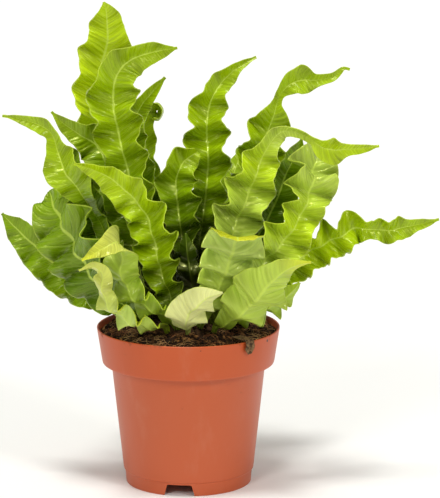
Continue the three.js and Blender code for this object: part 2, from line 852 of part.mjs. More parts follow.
// Where the rows of a frond stand: close together where its waves are high.
function rowShares(frond, frames) {
  const shares = [];
  for (let i = 0; i < blade.stalkRows; i += 1) {
    shares.push((blade.stalkShare * i) / blade.stalkRows);
  }
  const quarter = (1 - blade.stalkShare) / Math.round(frond.waves * blade.rowsPerWave);
  let share = blade.stalkShare;
  while (share < 1 - quarter / 2) {
    shares.push(share);
    const frame = frameAt(frames, share + quarter);
    const height = frame.halfWidth * Math.sin(frame.ruffle);
    share += height < blade.coarseBelow ? 2 * quarter : quarter;
  }
  shares.push(1);
  return shares;
}

function frondGeometry(frond) {
  const frames = midribFrames(frond);
  const shares = rowShares(frond, frames);
  const rows = shares.map((share) => rowAcross(frameAt(frames, share), share, frond, blade.cells));
  const thicknesses = shares.map((share) =>
    rows[0].map((place, column) => thicknessAt(column, rows[0].length, share)));
  return ribbon(rows, thicknesses);
}

// The plain round hole that a stalk stands in, along the foot of its path.
function stalkCutter(frond) {
  const foot = new THREE.Vector3(...frond.path[0]);
  const exit = new THREE.Vector3(...frond.path[1]);
  const direction = exit.clone().sub(foot).normalize();
  const start = foot.addScaledVector(direction, -stalkHole.depth);
  const upright = new THREE.Vector3(0, 1, 0);
  const { radius, reach, sides } = stalkHole;
  return new THREE.CylinderGeometry(radius, radius, reach, sides)
    .translate(0, reach / 2, 0)
    .applyQuaternion(new THREE.Quaternion().setFromUnitVectors(upright, direction))
    .translate(start.x, start.y, start.z);
}

// ---------- the plant ----------

const potPlastic = material(0xc3623e, 0.45);
const peat = material(0x2e1f16, 0.95);
const rhizome = material(0x3b2a1a, 0.9);
const leaf = material(0x7fa81a, 0.42);

const group = new THREE.Group();

function addPiece(name, geometry, finish) {
  const mesh = new THREE.Mesh(geometry, finish);
  mesh.name = name;
  group.add(mesh);
}

addPiece('pot', makePot(), potPlastic);
addPiece('soil', makeSoil(), peat);
addPiece('crown', makeCrown(), rhizome);
for (const frond of fronds) {
  addPiece(frond.name, frondGeometry(frond), leaf);
}

export default group;
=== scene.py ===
import math
import random

import bmesh
import bpy
from mathutils import Matrix, Vector, noise


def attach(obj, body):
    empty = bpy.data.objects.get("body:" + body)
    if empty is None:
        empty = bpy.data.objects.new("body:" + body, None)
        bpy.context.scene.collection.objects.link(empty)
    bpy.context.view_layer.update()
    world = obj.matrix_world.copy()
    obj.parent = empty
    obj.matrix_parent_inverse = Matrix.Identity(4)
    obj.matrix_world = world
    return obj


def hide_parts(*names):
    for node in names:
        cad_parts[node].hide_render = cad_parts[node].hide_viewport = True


# A crisped bird's nest fern in a thin plastic pot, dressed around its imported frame.
# +Z is up and the photograph's side is -Y. Lengths are written in millimetres, times mm.

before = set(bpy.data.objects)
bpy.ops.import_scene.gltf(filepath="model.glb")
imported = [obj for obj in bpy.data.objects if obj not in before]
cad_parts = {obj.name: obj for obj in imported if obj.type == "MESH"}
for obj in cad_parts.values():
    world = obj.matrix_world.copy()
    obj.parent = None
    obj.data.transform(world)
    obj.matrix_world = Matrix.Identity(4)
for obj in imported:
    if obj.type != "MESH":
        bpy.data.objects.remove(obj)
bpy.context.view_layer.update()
mm = 0.001


def paint(red, green, blue):  # a colour as a screen shows it, made linear
    def linear(level):
        share = level / 255
        return share / 12.92 if share < 0.04 else ((share + 0.055) / 1.055) ** 2.4
    return (linear(red), linear(green), linear(blue), 1)


def mixed(first, second, share):
    return tuple(a + (b - a) * share for a, b in zip(first, second))


def wander(along, seed):  # a smooth random walk between about -1 and 1
    return noise.noise(Vector((along, 3.7 * seed, 0.5)))


def clamped(share):  # kept between 0 and 1
    return min(max(share, 0), 1)


def toDisc(x, y):  # where a point of a square goes when the square becomes a disc with no pole
    return x * math.sqrt(1 - y * y / 2), y * math.sqrt(1 - x * x / 2)


def stationAt(path, share):  # a smooth curve through the stations, widths and angles with it
    last = len(path) - 1
    place = min(share * last, last - 1e-9)
    span = int(place)
    t = place - span
    station = []
    for before, start, end, after in zip(path[max(span - 1, 0)], path[span], path[span + 1],
                                         path[min(span + 2, last)]):
        slopeIn = (end - before) / 2
        slopeOut = (after - start) / 2
        rise = end - start
        bend = 3 * rise - 2 * slopeIn - slopeOut
        curl = slopeIn + slopeOut - 2 * rise
        station.append(start + t * (slopeIn + t * (bend + t * curl)))
    return station


def placed(name, data):  # an object that holds data, linked to the scene
    made = bpy.data.objects.new(name, data)
    bpy.context.scene.collection.objects.link(made)
    return made


def meshOf(name, bm):  # a bmesh written out as a mesh, and freed
    mesh = bpy.data.meshes.new(name)
    bm.to_mesh(mesh)
    bm.free()
    return mesh


# Materials

class Value:  # one outlet inside a material, where sums on it add Math nodes
    def __init__(self, finish, socket):
        self.finish = finish
        self.socket = socket

    def sum(self, operation, first, second):
        return self.finish.node("ShaderNodeMath", {"operation": operation}, {0: first, 1: second})

    def __add__(self, other):
        return self.sum("ADD", self, other)

    def __sub__(self, other):
        return self.sum("SUBTRACT", self, other)

    def __rsub__(self, other):
        return self.sum("SUBTRACT", other, self)

    def __mul__(self, other):
        return self.sum("MULTIPLY", self, other)

    __radd__ = __add__
    __rmul__ = __mul__


class Finish:  # one material, added to node by node
    def __init__(self, name):
        self.material = bpy.data.materials.new(name)
        self.material.use_nodes = True
        self.tree = self.material.node_tree
        self.tree.nodes.clear()

    def node(self, kind, settings=None, sockets=None, outlet=0):
        made = self.tree.nodes.new(kind)
        for name, value in (settings or {}).items():
            if name == "stops":
                self.setStops(made.color_ramp.elements, value)
            else:
                setattr(made, name, value)
        for name, value in (sockets or {}).items():
            if isinstance(value, Value):
                self.tree.links.new(value.socket, made.inputs[name])
            else:
                made.inputs[name].default_value = value
        return Value(self, made.outputs[outlet])

    def setStops(self, elements, stops):
        while len(elements) < len(stops):
            elements.new(1)
        for element, (position, colour) in zip(elements, stops):
            element.position = position
            element.color = colour

    def place(self):
        return self.node("ShaderNodeTexCoord", outlet="Object")

    def attribute(self, name, outlet="Vector"):
        return self.node("ShaderNodeAttribute", {"attribute_name": name}, outlet=outlet)

    def split(self, vector):
        made = self.node("ShaderNodeSeparateXYZ", None, {0: vector})
        outlets = made.socket.node.outputs
        return [Value(self, outlets[axis]) for axis in ("X", "Y", "Z")]

    def joined(self, x, y, z):
        return self.node("ShaderNodeCombineXYZ", None, {0: x, 1: y, 2: z})

    def noise(self, place, scale, detail=2, roughness=0.5):
        sockets = {"Vector": place, "Scale": scale, "Detail": detail, "Roughness": roughness}
        return self.node("ShaderNodeTexNoise", None, sockets)

    def ramp(self, value, stops):
        return self.node("ShaderNodeValToRGB", {"stops": stops}, {0: value})

    def step(self, value, low, high):  # 0 below low, 1 above high, smooth between
        sockets = {"Value": value, "From Min": low, "From Max": high}
        return self.node("ShaderNodeMapRange", {"interpolation_type": "SMOOTHSTEP"}, sockets)

    def mix(self, first, second, share):
        sockets = {0: share, 6: first, 7: second}
        return self.node("ShaderNodeMix", {"data_type": "RGBA"}, sockets, outlet=2)

    def shaded(self, colour, level):  # a colour times a number
        return self.node("ShaderNodeVectorMath", {"operation": "SCALE"}, {0: colour, 3: level})

    def bump(self, height, depth, strength):
        sockets = {"Height": height, "Distance": depth, "Strength": strength}
        return self.node("ShaderNodeBump", None, sockets)

    def surface(self, sockets):
        shader = self.node("ShaderNodeBsdfPrincipled", None, sockets)
        output = self.tree.nodes.new("ShaderNodeOutputMaterial")
        self.tree.links.new(shader.socket, output.inputs["Surface"])
        return self


def finished(name, bm, finishes, node=None, smooth=True):
    mesh = meshOf(name, bm)
    for finish in finishes:
        mesh.materials.append(finish.material)
    if smooth:
        mesh.shade_smooth()
    piece = placed(name, mesh)
    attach(piece, "root")
    if node:
        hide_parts(node)
    return piece


# Camera, floor and light

cameraLook = {"distance": 2000, "elevation": 11.88, "aside": 20.77, "height": 155.66, "lens": 221.6}


def makeCamera(look):
    lift = math.radians(look["elevation"])
    data = bpy.data.cameras.new("photographCamera")
    data.lens = look["lens"]
    data.sensor_width = 36
    data.clip_end = 50
    camera = placed("photographCamera", data)
    camera.location = (
        look["aside"] * mm,
        -look["distance"] * mm * math.cos(lift),
        look["height"] * mm + look["distance"] * mm * math.sin(lift),
    )
    camera.rotation_euler = (math.pi / 2 - lift, 0, 0)
    bpy.context.scene.camera = camera


studioLook = {
    "floor": paint(249, 250, 255), "floorHalf": 9000, "sky": 0.37, "warmth": (1, 0.985, 0.9, 1),
    "suns": {  # which way each large soft light stands, how wide it looks in degrees, and its power
        "overhead": dict(at=(-0.2, -0.3, 1.9), width=13, power=1.8),
        "frontLeft": dict(at=(-0.8, -1.8, 1.3), width=14, power=0.66),
        "frontRight": dict(at=(1.4, -1.5, 1.4), width=11, power=0.72),
    },
}


def makeFloor(look):
    finish = Finish("paleFloor")
    finish.surface({"Base Color": look["floor"], "Roughness": 0.9, "Specular IOR Level": 0.2})
    bm = bmesh.new()
    bmesh.ops.create_grid(bm, x_segments=2, y_segments=2, size=look["floorHalf"] * mm)
    mesh = meshOf("floor", bm)
    mesh.materials.append(finish.material)
    floor = placed("floor", mesh)


def makeLights(look):
    world = bpy.data.worlds.new("studio")
    world.use_nodes = True
    background = world.node_tree.nodes["Background"]
    background.inputs["Color"].default_value = look["warmth"]
    background.inputs["Strength"].default_value = look["sky"]
    bpy.context.scene.world = world
    for name, light in look["suns"].items():
        data = bpy.data.lights.new(name, "SUN")
        data.angle = math.radians(light["width"])
        data.energy = light["power"]
        data.color = look["warmth"][:3]
        lamp = placed(name, data)
        lamp.location = light["at"]
        lamp.rotation_euler = (-lamp.location).to_track_quat("-Z", "Y").to_euler()
    bpy.context.scene.view_settings.view_transform = "Standard"


makeCamera(cameraLook)
makeFloor(studioLook)
makeLights(studioLook)
print("camera, floor and lights made")


# The pot

potLook = {
    "steps": 144, "rounding": 0.35, "cornerCuts": 3, "sharpAngle": 38,
    "height": 104.5, "rim": 60, "bandFoot": 56.6, "bandFootUp": 82, "ledge": 80.4, "bodyTop": 50.6,
    "bodyFoot": 42.9, "foot": 41.9, "footUp": 8.6, "wall": 1.3, "floor": 1.6,
    # The deeper orange after the plain plastic is painted shade on the rim band, and a random tone
    # elsewhere.
    "plastic": paint(187, 87, 46), "glow": paint(190, 78, 24), "bandShadeShare": 0.6,
    "chalk": paint(200, 142, 116), "chalkShare": 0.16, "dirt": paint(92, 58, 40), "dirtShare": 0.45,
    "dirtUnderLip": 7, "soot": paint(40, 26, 20), "ragged": 1.6,
    "specks": (  # where a fleck of dirt sits, and its radius
        (8.7, -59.4, 101.8, 0.8), (51.8, -30.3, 101.5, 1.2),
        (14.3, -44.4, 30.8, 0.9), (42, -3, 5.6, 1.8),
    ),
}
notchLook = {  # a notch is "foot" wide a little under the ground, where its cutter starts
    "angles": (-8, 112, 232), "top": 16, "foot": 20.6, "height": 7.6, "under": 1, "reach": 4,
    "corner": 1.2,
}
drainLook = {"count": 5, "radius": 4.5, "ring": 25, "depth": 6}


def potFinish(look):
    finish = Finish("pottedPlastic")
    place = finish.place()
    x, y, z = finish.split(place)
    broad = finish.noise(place, 22, 3)
    fine = finish.noise(place, 420, 2)
    dull = finish.step(finish.noise(finish.joined(x, y, z * 0.4), 55, 4, 0.6), 0.52, 0.78)
    # the rim band is painted deeper orange as painted shade for how the light falls on it; broad noise
    # adds a little of the same orange everywhere as random tone
    band = finish.step(z, look["ledge"] * mm, look["bandFootUp"] * mm)
    base = finish.mix(look["plastic"], look["glow"], band * look["bandShadeShare"] + broad * 0.25)
    dusty = finish.mix(base, look["chalk"], dull * look["chalkShare"])
    nearLip = finish.step(z, (look["height"] - look["dirtUnderLip"]) * mm, look["height"] * mm)
    smear = finish.step(finish.noise(place, 130, 5, 0.65) + nearLip * 0.12, 0.66, 0.78)
    colour = finish.mix(dusty, look["dirt"], smear * look["dirtShare"])
    for across, depth, up, radius in look["specks"]:
        spot = {0: place, 1: Vector((across, depth, up)) * mm}
        away = finish.node("ShaderNodeVectorMath", {"operation": "DISTANCE"}, spot, outlet="Value")
        ragged = away + (finish.noise(place, 700, 2) - 0.5) * (look["ragged"] * mm)
        spread = 1 - finish.step(ragged, radius * 0.6 * mm, radius * mm)
        colour = finish.mix(colour, look["soot"], spread)
    return finish.surface({
        "Base Color": colour,
        "Roughness": 0.36 + broad * 0.12 + smear * 0.3,
        "Specular IOR Level": 0.45,
        "Normal": finish.bump(fine * 0.4 + broad, 0.12 * mm, 0.5),
    })


def rounded(corners, radius, cuts):  # an outline with each inner corner turned into a small arc
    outline = [corners[0]]
    for before, corner, after in zip(corners, corners[1:], corners[2:]):
        corner = Vector(corner)
        start = corner + (Vector(before) - corner).normalized() * radius
        end = corner + (Vector(after) - corner).normalized() * radius
        for cut in range(cuts + 1):
            t = cut / cuts
            outline.append(start * (1 - t) ** 2 + corner * (2 * t * (1 - t)) + end * t ** 2)
    outline.append(corners[-1])
    return outline


def potOutline(look):
    wall = look["wall"]
    floorTop = look["footUp"] + look["floor"]
    return rounded([
        (0, look["footUp"]),
        (look["foot"] - wall, look["footUp"]),
        (look["foot"] - 0.7 - wall, 0),
        (look["foot"] - 0.7, 0),
        (look["foot"], look["footUp"]),
        (look["bodyFoot"], look["footUp"] + 0.8),
        (look["bodyTop"], look["ledge"]),
        (look["bandFoot"] - 0.4, look["ledge"] + 0.4),
        (look["bandFoot"], look["bandFootUp"]),
        (look["rim"], look["height"] - 0.5),
        (look["rim"] - 0.5, look["height"]),
        (look["rim"] - wall, look["height"] - 0.5),
        (look["bandFoot"] - wall, look["bandFootUp"] + wall),
        (look["bodyTop"] - wall, look["ledge"] + wall),
        (look["bodyFoot"] - wall, floorTop),
        (0, floorTop),
    ], look["rounding"], look["cornerCuts"])


def cutNotch(bm, look, angle, foot):
    turn = Matrix.Rotation(math.radians(angle), 4, "Z")
    block = bmesh.ops.create_cube(bm, size=1)["verts"]
    for vert in block:
        low = vert.co.z < 0
        vert.co.x = math.copysign(look["foot" if low else "top"] / 2, vert.co.x)
        vert.co.y = vert.co.y * 2 * look["reach"] - foot
        vert.co.z = -look["under"] if low else look["height"]
        vert.co = turn @ vert.co * mm
    upper = [edge for vert in block for edge in vert.link_edges
             if edge.verts[0] == vert and edge.verts[0].co.z > 0 and edge.verts[1].co.z > 0]
    inward = [edge for edge in upper if abs(edge.calc_length() - 2 * look["reach"] * mm) < mm]
    bmesh.ops.bevel(bm, geom=inward, offset=look["corner"] * mm, segments=4, profile=0.5,
                    affect="EDGES", material=-1)


def cutDrain(bm, look, number, height):
    turn = Matrix.Rotation(math.tau * number / look["count"], 4, "Z")
    spot = turn @ Matrix.Translation(Vector((0, -look["ring"], height)) * mm)
    radius = look["radius"] * mm
    bmesh.ops.create_cone(bm, cap_ends=True, segments=40, radius1=radius, radius2=radius,
                          depth=look["depth"] * mm, matrix=spot)


def makePot(look, notches, drains):
    bm = bmesh.new()
    verts = [bm.verts.new((place[0] * mm, 0, place[1] * mm)) for place in potOutline(look)]
    edges = [bm.edges.new(pair) for pair in zip(verts, verts[1:])]
    bmesh.ops.spin(bm, geom=verts + edges, cent=(0, 0, 0), axis=(0, 0, 1), angle=math.tau,
                   steps=look["steps"], use_merge=True)
    bmesh.ops.remove_doubles(bm, verts=bm.verts, dist=0.01 * mm)
    bmesh.ops.recalc_face_normals(bm, faces=bm.faces)
    pot = finished("plastic_pot", bm, [potFinish(look)], "pot")
    cutters = bmesh.new()
    for angle in notches["angles"]:
        cutNotch(cutters, notches, angle, look["foot"])
    for number in range(drains["count"]):
        cutDrain(cutters, drains, number, look["footUp"] + look["floor"] / 2)
    bmesh.ops.recalc_face_normals(cutters, faces=cutters.faces)
    tool = placed("cutters", meshOf("cutters", cutters))
    cut = pot.modifiers.new("openings", "BOOLEAN")
    cut.object = tool
    cut.solver = "EXACT"
    bpy.context.view_layer.update()
    shaped = bpy.data.meshes.new_from_object(pot.evaluated_get(bpy.context.evaluated_depsgraph_get()))
    pot.modifiers.clear()
    pot.data = shaped
    bpy.data.objects.remove(tool)
    shaped.shade_smooth()
    shaped.set_sharp_from_angle(angle=math.radians(look["sharpAngle"]))


makePot(potLook, notchLook, drainLook)
print("pot made")


# Soil, its crumbs and fibres, and the scrap on the rim

soilLook = {
    "cuts": 150, "edge": 58.0, "edgeUp": 100.3, "heap": 3.6, "pocket": 30.3, "lump": 1.3, "grit": 0.7,
    "lumpPitch": 9, "gritPitch": 3.2, "sandPitch": 1.3, "calmWidth": 4, "calmLeast": 0.35,
    "dark": paint(30, 19, 12), "brown": paint(54, 35, 22), "tan": paint(150, 106, 62),
    "skirt": ((55.1, 84), (49.1, 81.5), (41.4, 10.4)),  # how far from the axis, and how high
}
crumbLook = {"count": 2100, "small": 0.35, "large": 1.8, "seed": 4}
fibreLook = {"count": 460, "length": 14, "thick": 0.16, "joints": 7, "seed": 9,
             "straw": paint(206, 166, 112), "rust": paint(128, 76, 42)}


def soilHeight(x, y, look):  # millimetres
    radius = math.hypot(x, y)
    share = clamped((radius - look["pocket"]) / (look["edge"] - look["pocket"]))
    calm = min(1, max(0, look["edge"] - radius) / look["calmWidth"] + look["calmLeast"])
    lump = noise.noise(Vector((x / look["lumpPitch"], y / look["lumpPitch"], 1.5))) * look["lump"]
    grit = noise.noise(Vector((x / look["gritPitch"], y / look["gritPitch"], 7.5))) * look["grit"]
    sand = noise.noise(Vector((x / look["sandPitch"], y / look["sandPitch"], 4.5))) * look["grit"] * 0.5
    return look["edgeUp"] + look["heap"] * math.cos(share * math.pi / 2) + (lump + grit + sand) * calm


def soilFinish(look):
    finish = Finish("peat")
    place = finish.place()
    coarse = finish.noise(place, 240, 4, 0.65)
    fine = finish.noise(place, 900, 3, 0.7)
    stops = [(0.3, look["dark"]), (0.52, look["brown"]), (0.72, look["tan"])]
    colour = finish.ramp(coarse * 0.6 + fine * 0.38, stops)
    return finish.surface({
        "Base Color": colour, "Roughness": 0.95, "Specular IOR Level": 0.15,
        "Normal": finish.bump(coarse + fine, 0.8 * mm, 0.9),
    })


def crumbFinish(look):
    finish = Finish("peatCrumbs")
    tone = finish.attribute("tone", "Fac")
    speck = finish.noise(finish.place(), 1300, 2)
    stops = [(0.1, look["dark"]), (0.52, look["brown"]), (0.84, look["tan"])]
    return finish.surface({
        "Base Color": finish.ramp(tone * 0.8 + speck * 0.25, stops), "Roughness": 0.93,
        "Specular IOR Level": 0.2, "Normal": finish.bump(speck, 0.3 * mm, 0.8),
    })


def strandFinish(look):
    finish = Finish("peatFibres")
    tint = finish.step(finish.noise(finish.place(), 60, 2), 0.35, 0.65)
    return finish.surface({
        "Base Color": finish.mix(look["straw"], look["rust"], tint), "Roughness": 0.8,
        "Specular IOR Level": 0.25,
    })


def makeSoil(look):
    bm = bmesh.new()
    bmesh.ops.create_grid(bm, x_segments=look["cuts"], y_segments=look["cuts"], size=1)
    for vert in bm.verts:
        x, y = (part * look["edge"] for part in toDisc(vert.co.x, vert.co.y))
        vert.co = Vector((x, y, soilHeight(x, y, look))) * mm
    edges = [edge for edge in bm.edges if edge.is_boundary]
    for radius, height in look["skirt"]:
        made = bmesh.ops.extrude_edge_only(bm, edges=edges)["geom"]
        edges = [part for part in made if isinstance(part, bmesh.types.BMEdge)]
        for vert in [part for part in made if isinstance(part, bmesh.types.BMVert)]:
            flat = Vector((vert.co.x, vert.co.y, 0)).normalized() * radius * mm
            vert.co = (flat.x, flat.y, height * mm)
        edges = [edge for edge in edges if edge.is_boundary]
    bmesh.ops.holes_fill(bm, edges=edges)
    bmesh.ops.recalc_face_normals(bm, faces=bm.faces)
    finished("peat_bed", bm, [soilFinish(look)], "soil")


def makeCrumbs(look, soil):
    dice = random.Random(look["seed"])
    bm = bmesh.new()
    tones = bm.verts.layers.float.new("tone")
    for number in range(look["count"]):
        angle = dice.uniform(0, math.tau)
        radius = soil["edge"] * math.sqrt(dice.uniform(0.16, 0.985))
        size = look["small"] + (look["large"] - look["small"]) * dice.random() ** 2.6
        radius = min(radius, soil["edge"] - size - 0.3)
        x, y = radius * math.cos(angle), radius * math.sin(angle)
        spot = Vector((x, y, soilHeight(x, y, soil) + size * dice.uniform(0, 0.55))) * mm
        spin = Matrix.Rotation(dice.uniform(0, 3), 4, Vector((dice.random(), dice.random(), 1)))
        squash = Matrix.Diagonal((1, dice.uniform(0.5, 0.9), dice.uniform(0.4, 0.8), 1))
        verts = bmesh.ops.create_icosphere(bm, subdivisions=1, radius=size * mm,
                                           matrix=Matrix.Translation(spot) @ spin @ squash)["verts"]
        tone = dice.random() ** 1.5
        for vert in verts:
            vert[tones] = tone
            vert.co += (vert.co - spot) * dice.uniform(-0.3, 0.35)
    finished("peat_crumbs", bm, [crumbFinish(soil)], smooth=False)


def makeFibres(look, soil):
    dice = random.Random(look["seed"])
    curve = bpy.data.curves.new("peat_fibres", "CURVE")
    curve.dimensions = "3D"
    curve.bevel_depth = look["thick"] * mm
    curve.bevel_resolution = 0
    curve.use_fill_caps = True
    for number in range(look["count"]):
        heading = dice.uniform(0, math.tau)
        angle = dice.uniform(0, math.tau)
        radius = soil["edge"] * math.sqrt(dice.uniform(0.14, 0.94))
        x, y = radius * math.cos(angle), radius * math.sin(angle)
        length = look["length"] * dice.uniform(0.25, 1)
        lift = dice.uniform(0.1, 1.8)
        strand = curve.splines.new("POLY")
        strand.points.add(look["joints"])
        for index, point in enumerate(strand.points):
            share = index / look["joints"]
            heading += dice.uniform(-0.45, 0.45)
            x += math.cos(heading) * length / look["joints"]
            y += math.sin(heading) * length / look["joints"]
            away = math.hypot(x, y) / (soil["edge"] - 1.2)
            if away > 1:
                x, y = x / away, y / away
            rise = soilHeight(x, y, soil) + 0.25 + lift * math.sin(math.pi * share)
            point.co = (x * mm, y * mm, rise * mm, 1)
            point.radius = 1 - 0.5 * share
    curve.materials.append(strandFinish(look).material)
    piece = placed("peat_fibres", curve)
    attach(piece, "root")


scrapLook = {
    "heading": -49.5, "long": 40, "across": 8, "halfWidth": 3.6, "thick": 0.45,
    "line": (  # how far from the axis, and how high
        (44, 104.6), (50, 105.4), (56, 105.3), (59.3, 106), (61.2, 104.4), (61, 101), (60.6, 96.5),
    ),
    "dark": paint(58, 42, 28), "pale": paint(150, 118, 82),
}


def scrapFinish(look):
    finish = Finish("driedScrap")
    place = finish.place()
    grain = finish.noise(place, 420, 4, 0.65)
    return finish.surface({
        "Base Color": finish.ramp(grain, [(0.38, look["dark"]), (0.68, look["pale"])]),
        "Roughness": 0.85, "Specular IOR Level": 0.2, "Normal": finish.bump(grain, 0.6 * mm, 0.9),
    })


def makeScrap(look):  # a dry brown strip that lies on the soil and hangs over the lip
    turn = Matrix.Rotation(math.radians(look["heading"]), 3, "Z")
    bm = bmesh.new()
    bmesh.ops.create_grid(bm, x_segments=look["long"], y_segments=look["across"], size=1)
    for vert in bm.verts:
        share, side = (vert.co.x + 1) / 2, vert.co.y
        radius, height = stationAt(look["line"], share)
        ragged = 1 + 0.35 * wander(share * 9, 3) + 0.25 * wander(share * 21, 5 + (side > 0))
        half = look["halfWidth"] * ragged * min(1, (1 - share) * 5 + 0.35) * min(1, share * 6 + 0.2)
        curl = 0.5 * wander(share * 7 + side, 8) + 0.7 * side * side
        vert.co = turn @ Vector((radius + curl * share, side * half, height + curl * (1 - share))) * mm
    bmesh.ops.recalc_face_normals(bm, faces=bm.faces)
    piece = finished("dried_scrap", bm, [scrapFinish(look)])
    wall = piece.modifiers.new("wall", "SOLIDIFY")
    wall.thickness = look["thick"] * mm
    wall.offset = 0


makeSoil(soilLook)
makeScrap(scrapLook)
makeCrumbs(crumbLook, soilLook)
makeFibres(fibreLook, soilLook)
print("soil made")


# The crown, a low mound of scaly rootstock

crownLook = {
    "cuts": 60, "radius": 30, "foot": 98, "shoulder": 104, "top": 106.4, "dome": 4, "seed": 21,
    "knob": 1.3, "bump": 0.6, "sunk": 0.9, "scales": 420,
    "dark": paint(34, 24, 15), "scale": paint(88, 58, 34),
}


def crownFinish(look):
    finish = Finish("rootstock")
    place = finish.place()
    grain = finish.noise(place, 500, 4, 0.65)
    stops = [(0.35, look["dark"]), (0.7, look["scale"])]
    return finish.surface({
        "Base Color": finish.ramp(grain, stops), "Roughness": 0.9, "Specular IOR Level": 0.2,
        "Normal": finish.bump(grain, 0.6 * mm, 0.9),
    })


def crownHeight(radius, look):
    share = min(radius / look["radius"], 1)
    return look["shoulder"] + (look["top"] + look["dome"] - look["shoulder"]) * (1 - share ** 2.2)


def makeCrown(look):
    dice = random.Random(look["seed"])
    bm = bmesh.new()
    bmesh.ops.create_grid(bm, x_segments=look["cuts"], y_segments=look["cuts"], size=1)
    for vert in bm.verts:
        x, y = toDisc(vert.co.x, vert.co.y)
        knobs = noise.noise(Vector((x * 7, y * 7, 2))) * look["knob"]
        knobs += noise.noise(Vector((x * 22, y * 22, 5))) * look["bump"]
        height = crownHeight(math.hypot(x, y) * look["radius"], look) + knobs - look["sunk"]
        vert.co = Vector((x * look["radius"], y * look["radius"], height)) * mm
    border = [edge for edge in bm.edges if edge.is_boundary]
    made = bmesh.ops.extrude_edge_only(bm, edges=border)["geom"]
    for vert in [part for part in made if isinstance(part, bmesh.types.BMVert)]:
        vert.co.z = look["foot"] * mm
    bmesh.ops.holes_fill(bm, edges=[edge for edge in bm.edges if edge.is_boundary])
    for number in range(look["scales"]):
        addScale(bm, look, dice)
    bmesh.ops.recalc_face_normals(bm, faces=bm.faces)
    finished("rootstock_crown", bm, [crownFinish(look)], "crown")


def addScale(bm, look, dice):  # one papery scale, a thin pointed wedge
    angle = dice.uniform(0, math.tau)
    radius = look["radius"] * math.sqrt(dice.uniform(0.02, 0.98))
    height = crownHeight(radius, look) - 1.2
    lean = Matrix.Rotation(dice.uniform(0.2, 1.2), 4, "Y")
    spot = Matrix.Translation(Vector((radius * math.cos(angle), radius * math.sin(angle), height)) * mm)
    shape = Matrix.Diagonal((0.35, 1, 1, 1))
    length = dice.uniform(2.2, 5)
    wide = dice.uniform(0.5, 1)
    lift = Matrix.Translation((0, 0, length / 2 * mm))
    turn = Matrix.Rotation(angle + dice.uniform(-0.6, 0.6), 4, "Z")
    bmesh.ops.create_cone(bm, cap_ends=True, segments=5, radius1=wide * mm, radius2=0.08 * mm,
                          depth=length * mm, matrix=spot @ turn @ lean @ shape @ lift)


makeCrown(crownLook)
print("crown made")


# The fronds

# Leaf colours; the darkest one is painted shade for the leaves deep inside the rosette.
palette = {
    "night": paint(36, 54, 2), "deep": paint(84, 118, 2), "leaf": paint(120, 154, 3),
    "bright": paint(152, 182, 4), "lime": paint(178, 206, 12), "fresh": paint(190, 216, 14),
    "sun": paint(204, 210, 40), "wax": paint(192, 200, 92), "sage": paint(144, 172, 46),
    "mist": paint(174, 198, 74), "pale": paint(182, 204, 100), "cream": paint(222, 226, 150),
}
bladeLook = {
    "rowPitch": 0.62, "cells": 9, "edgeCrowd": 0.088, "tipHalfWidth": 1, "stalkShare": 0.07,
    "cup": 22, "cupRise": 6, "growth": 0.6, "skew": 60, "rightShift": 90, "lobe": 0.16, "stray": 0.6,
    "heave": 2.8, "crimp": 0.3, "square": 0.2, "waveSize": 0.9, "waveStray": 0.22, "commonHalf": 12,
    "samples": 600, "veinSlope": 0.5, "footRamp": 8, "pleatPitch": 3.5, "pleatHeight": 0.56,
    "pleatEven": 0.75, "pleatStray": 0.6, "strayPitch": 13, "pleatDrift": 1.4, "driftPitch": 19,
    "pleatMost": 2.2, "broadPitch": 2.6, "broadShare": 0.95, "fineShare": 0.5,
    "blade": 0.6, "rib": 1.7, "ribTip": 0.8, "ribWidth": 0.09, "stalk": 2.8, "stalkEdge": 1.6,
    "ribSpan": (0.025, 0.075), "edgeSpan": (0.955, 0.99), "reliefSpan": (0.5, 7), "handGap": 300,
    "ribColour": paint(206, 228, 96), "edgeColour": paint(198, 218, 78), "edgeShare": 0.45,
    "glint": (0.95, 1, 0.3, 1),
}
# The wave term paints each face lighter on the crests and darker in the troughs: painted light and
# shade.
upperLook = {
    "tone": "upperTone", "level": 0.155, "streak": 0.78, "hair": 0.44, "blotch": 0.3, "crest": 0.22,
    "ribShare": 0.6, "roughness": 0.17, "relief": 1.2,
}
underLook = {
    "tone": "underTone", "level": 0.52, "streak": 0.4, "hair": 0.2, "blotch": 0.3, "crest": 0.16,
    "ribShare": 0.4, "roughness": 0.23, "relief": 0.6,
}
# where the leaf colours are darkened as painted shade, low down among the other leaves
paintedShadeLook = {"top": 190, "depth": 50, "across": -4, "back": 14, "reach": 50, "fade": 24, "dark": 0.92}
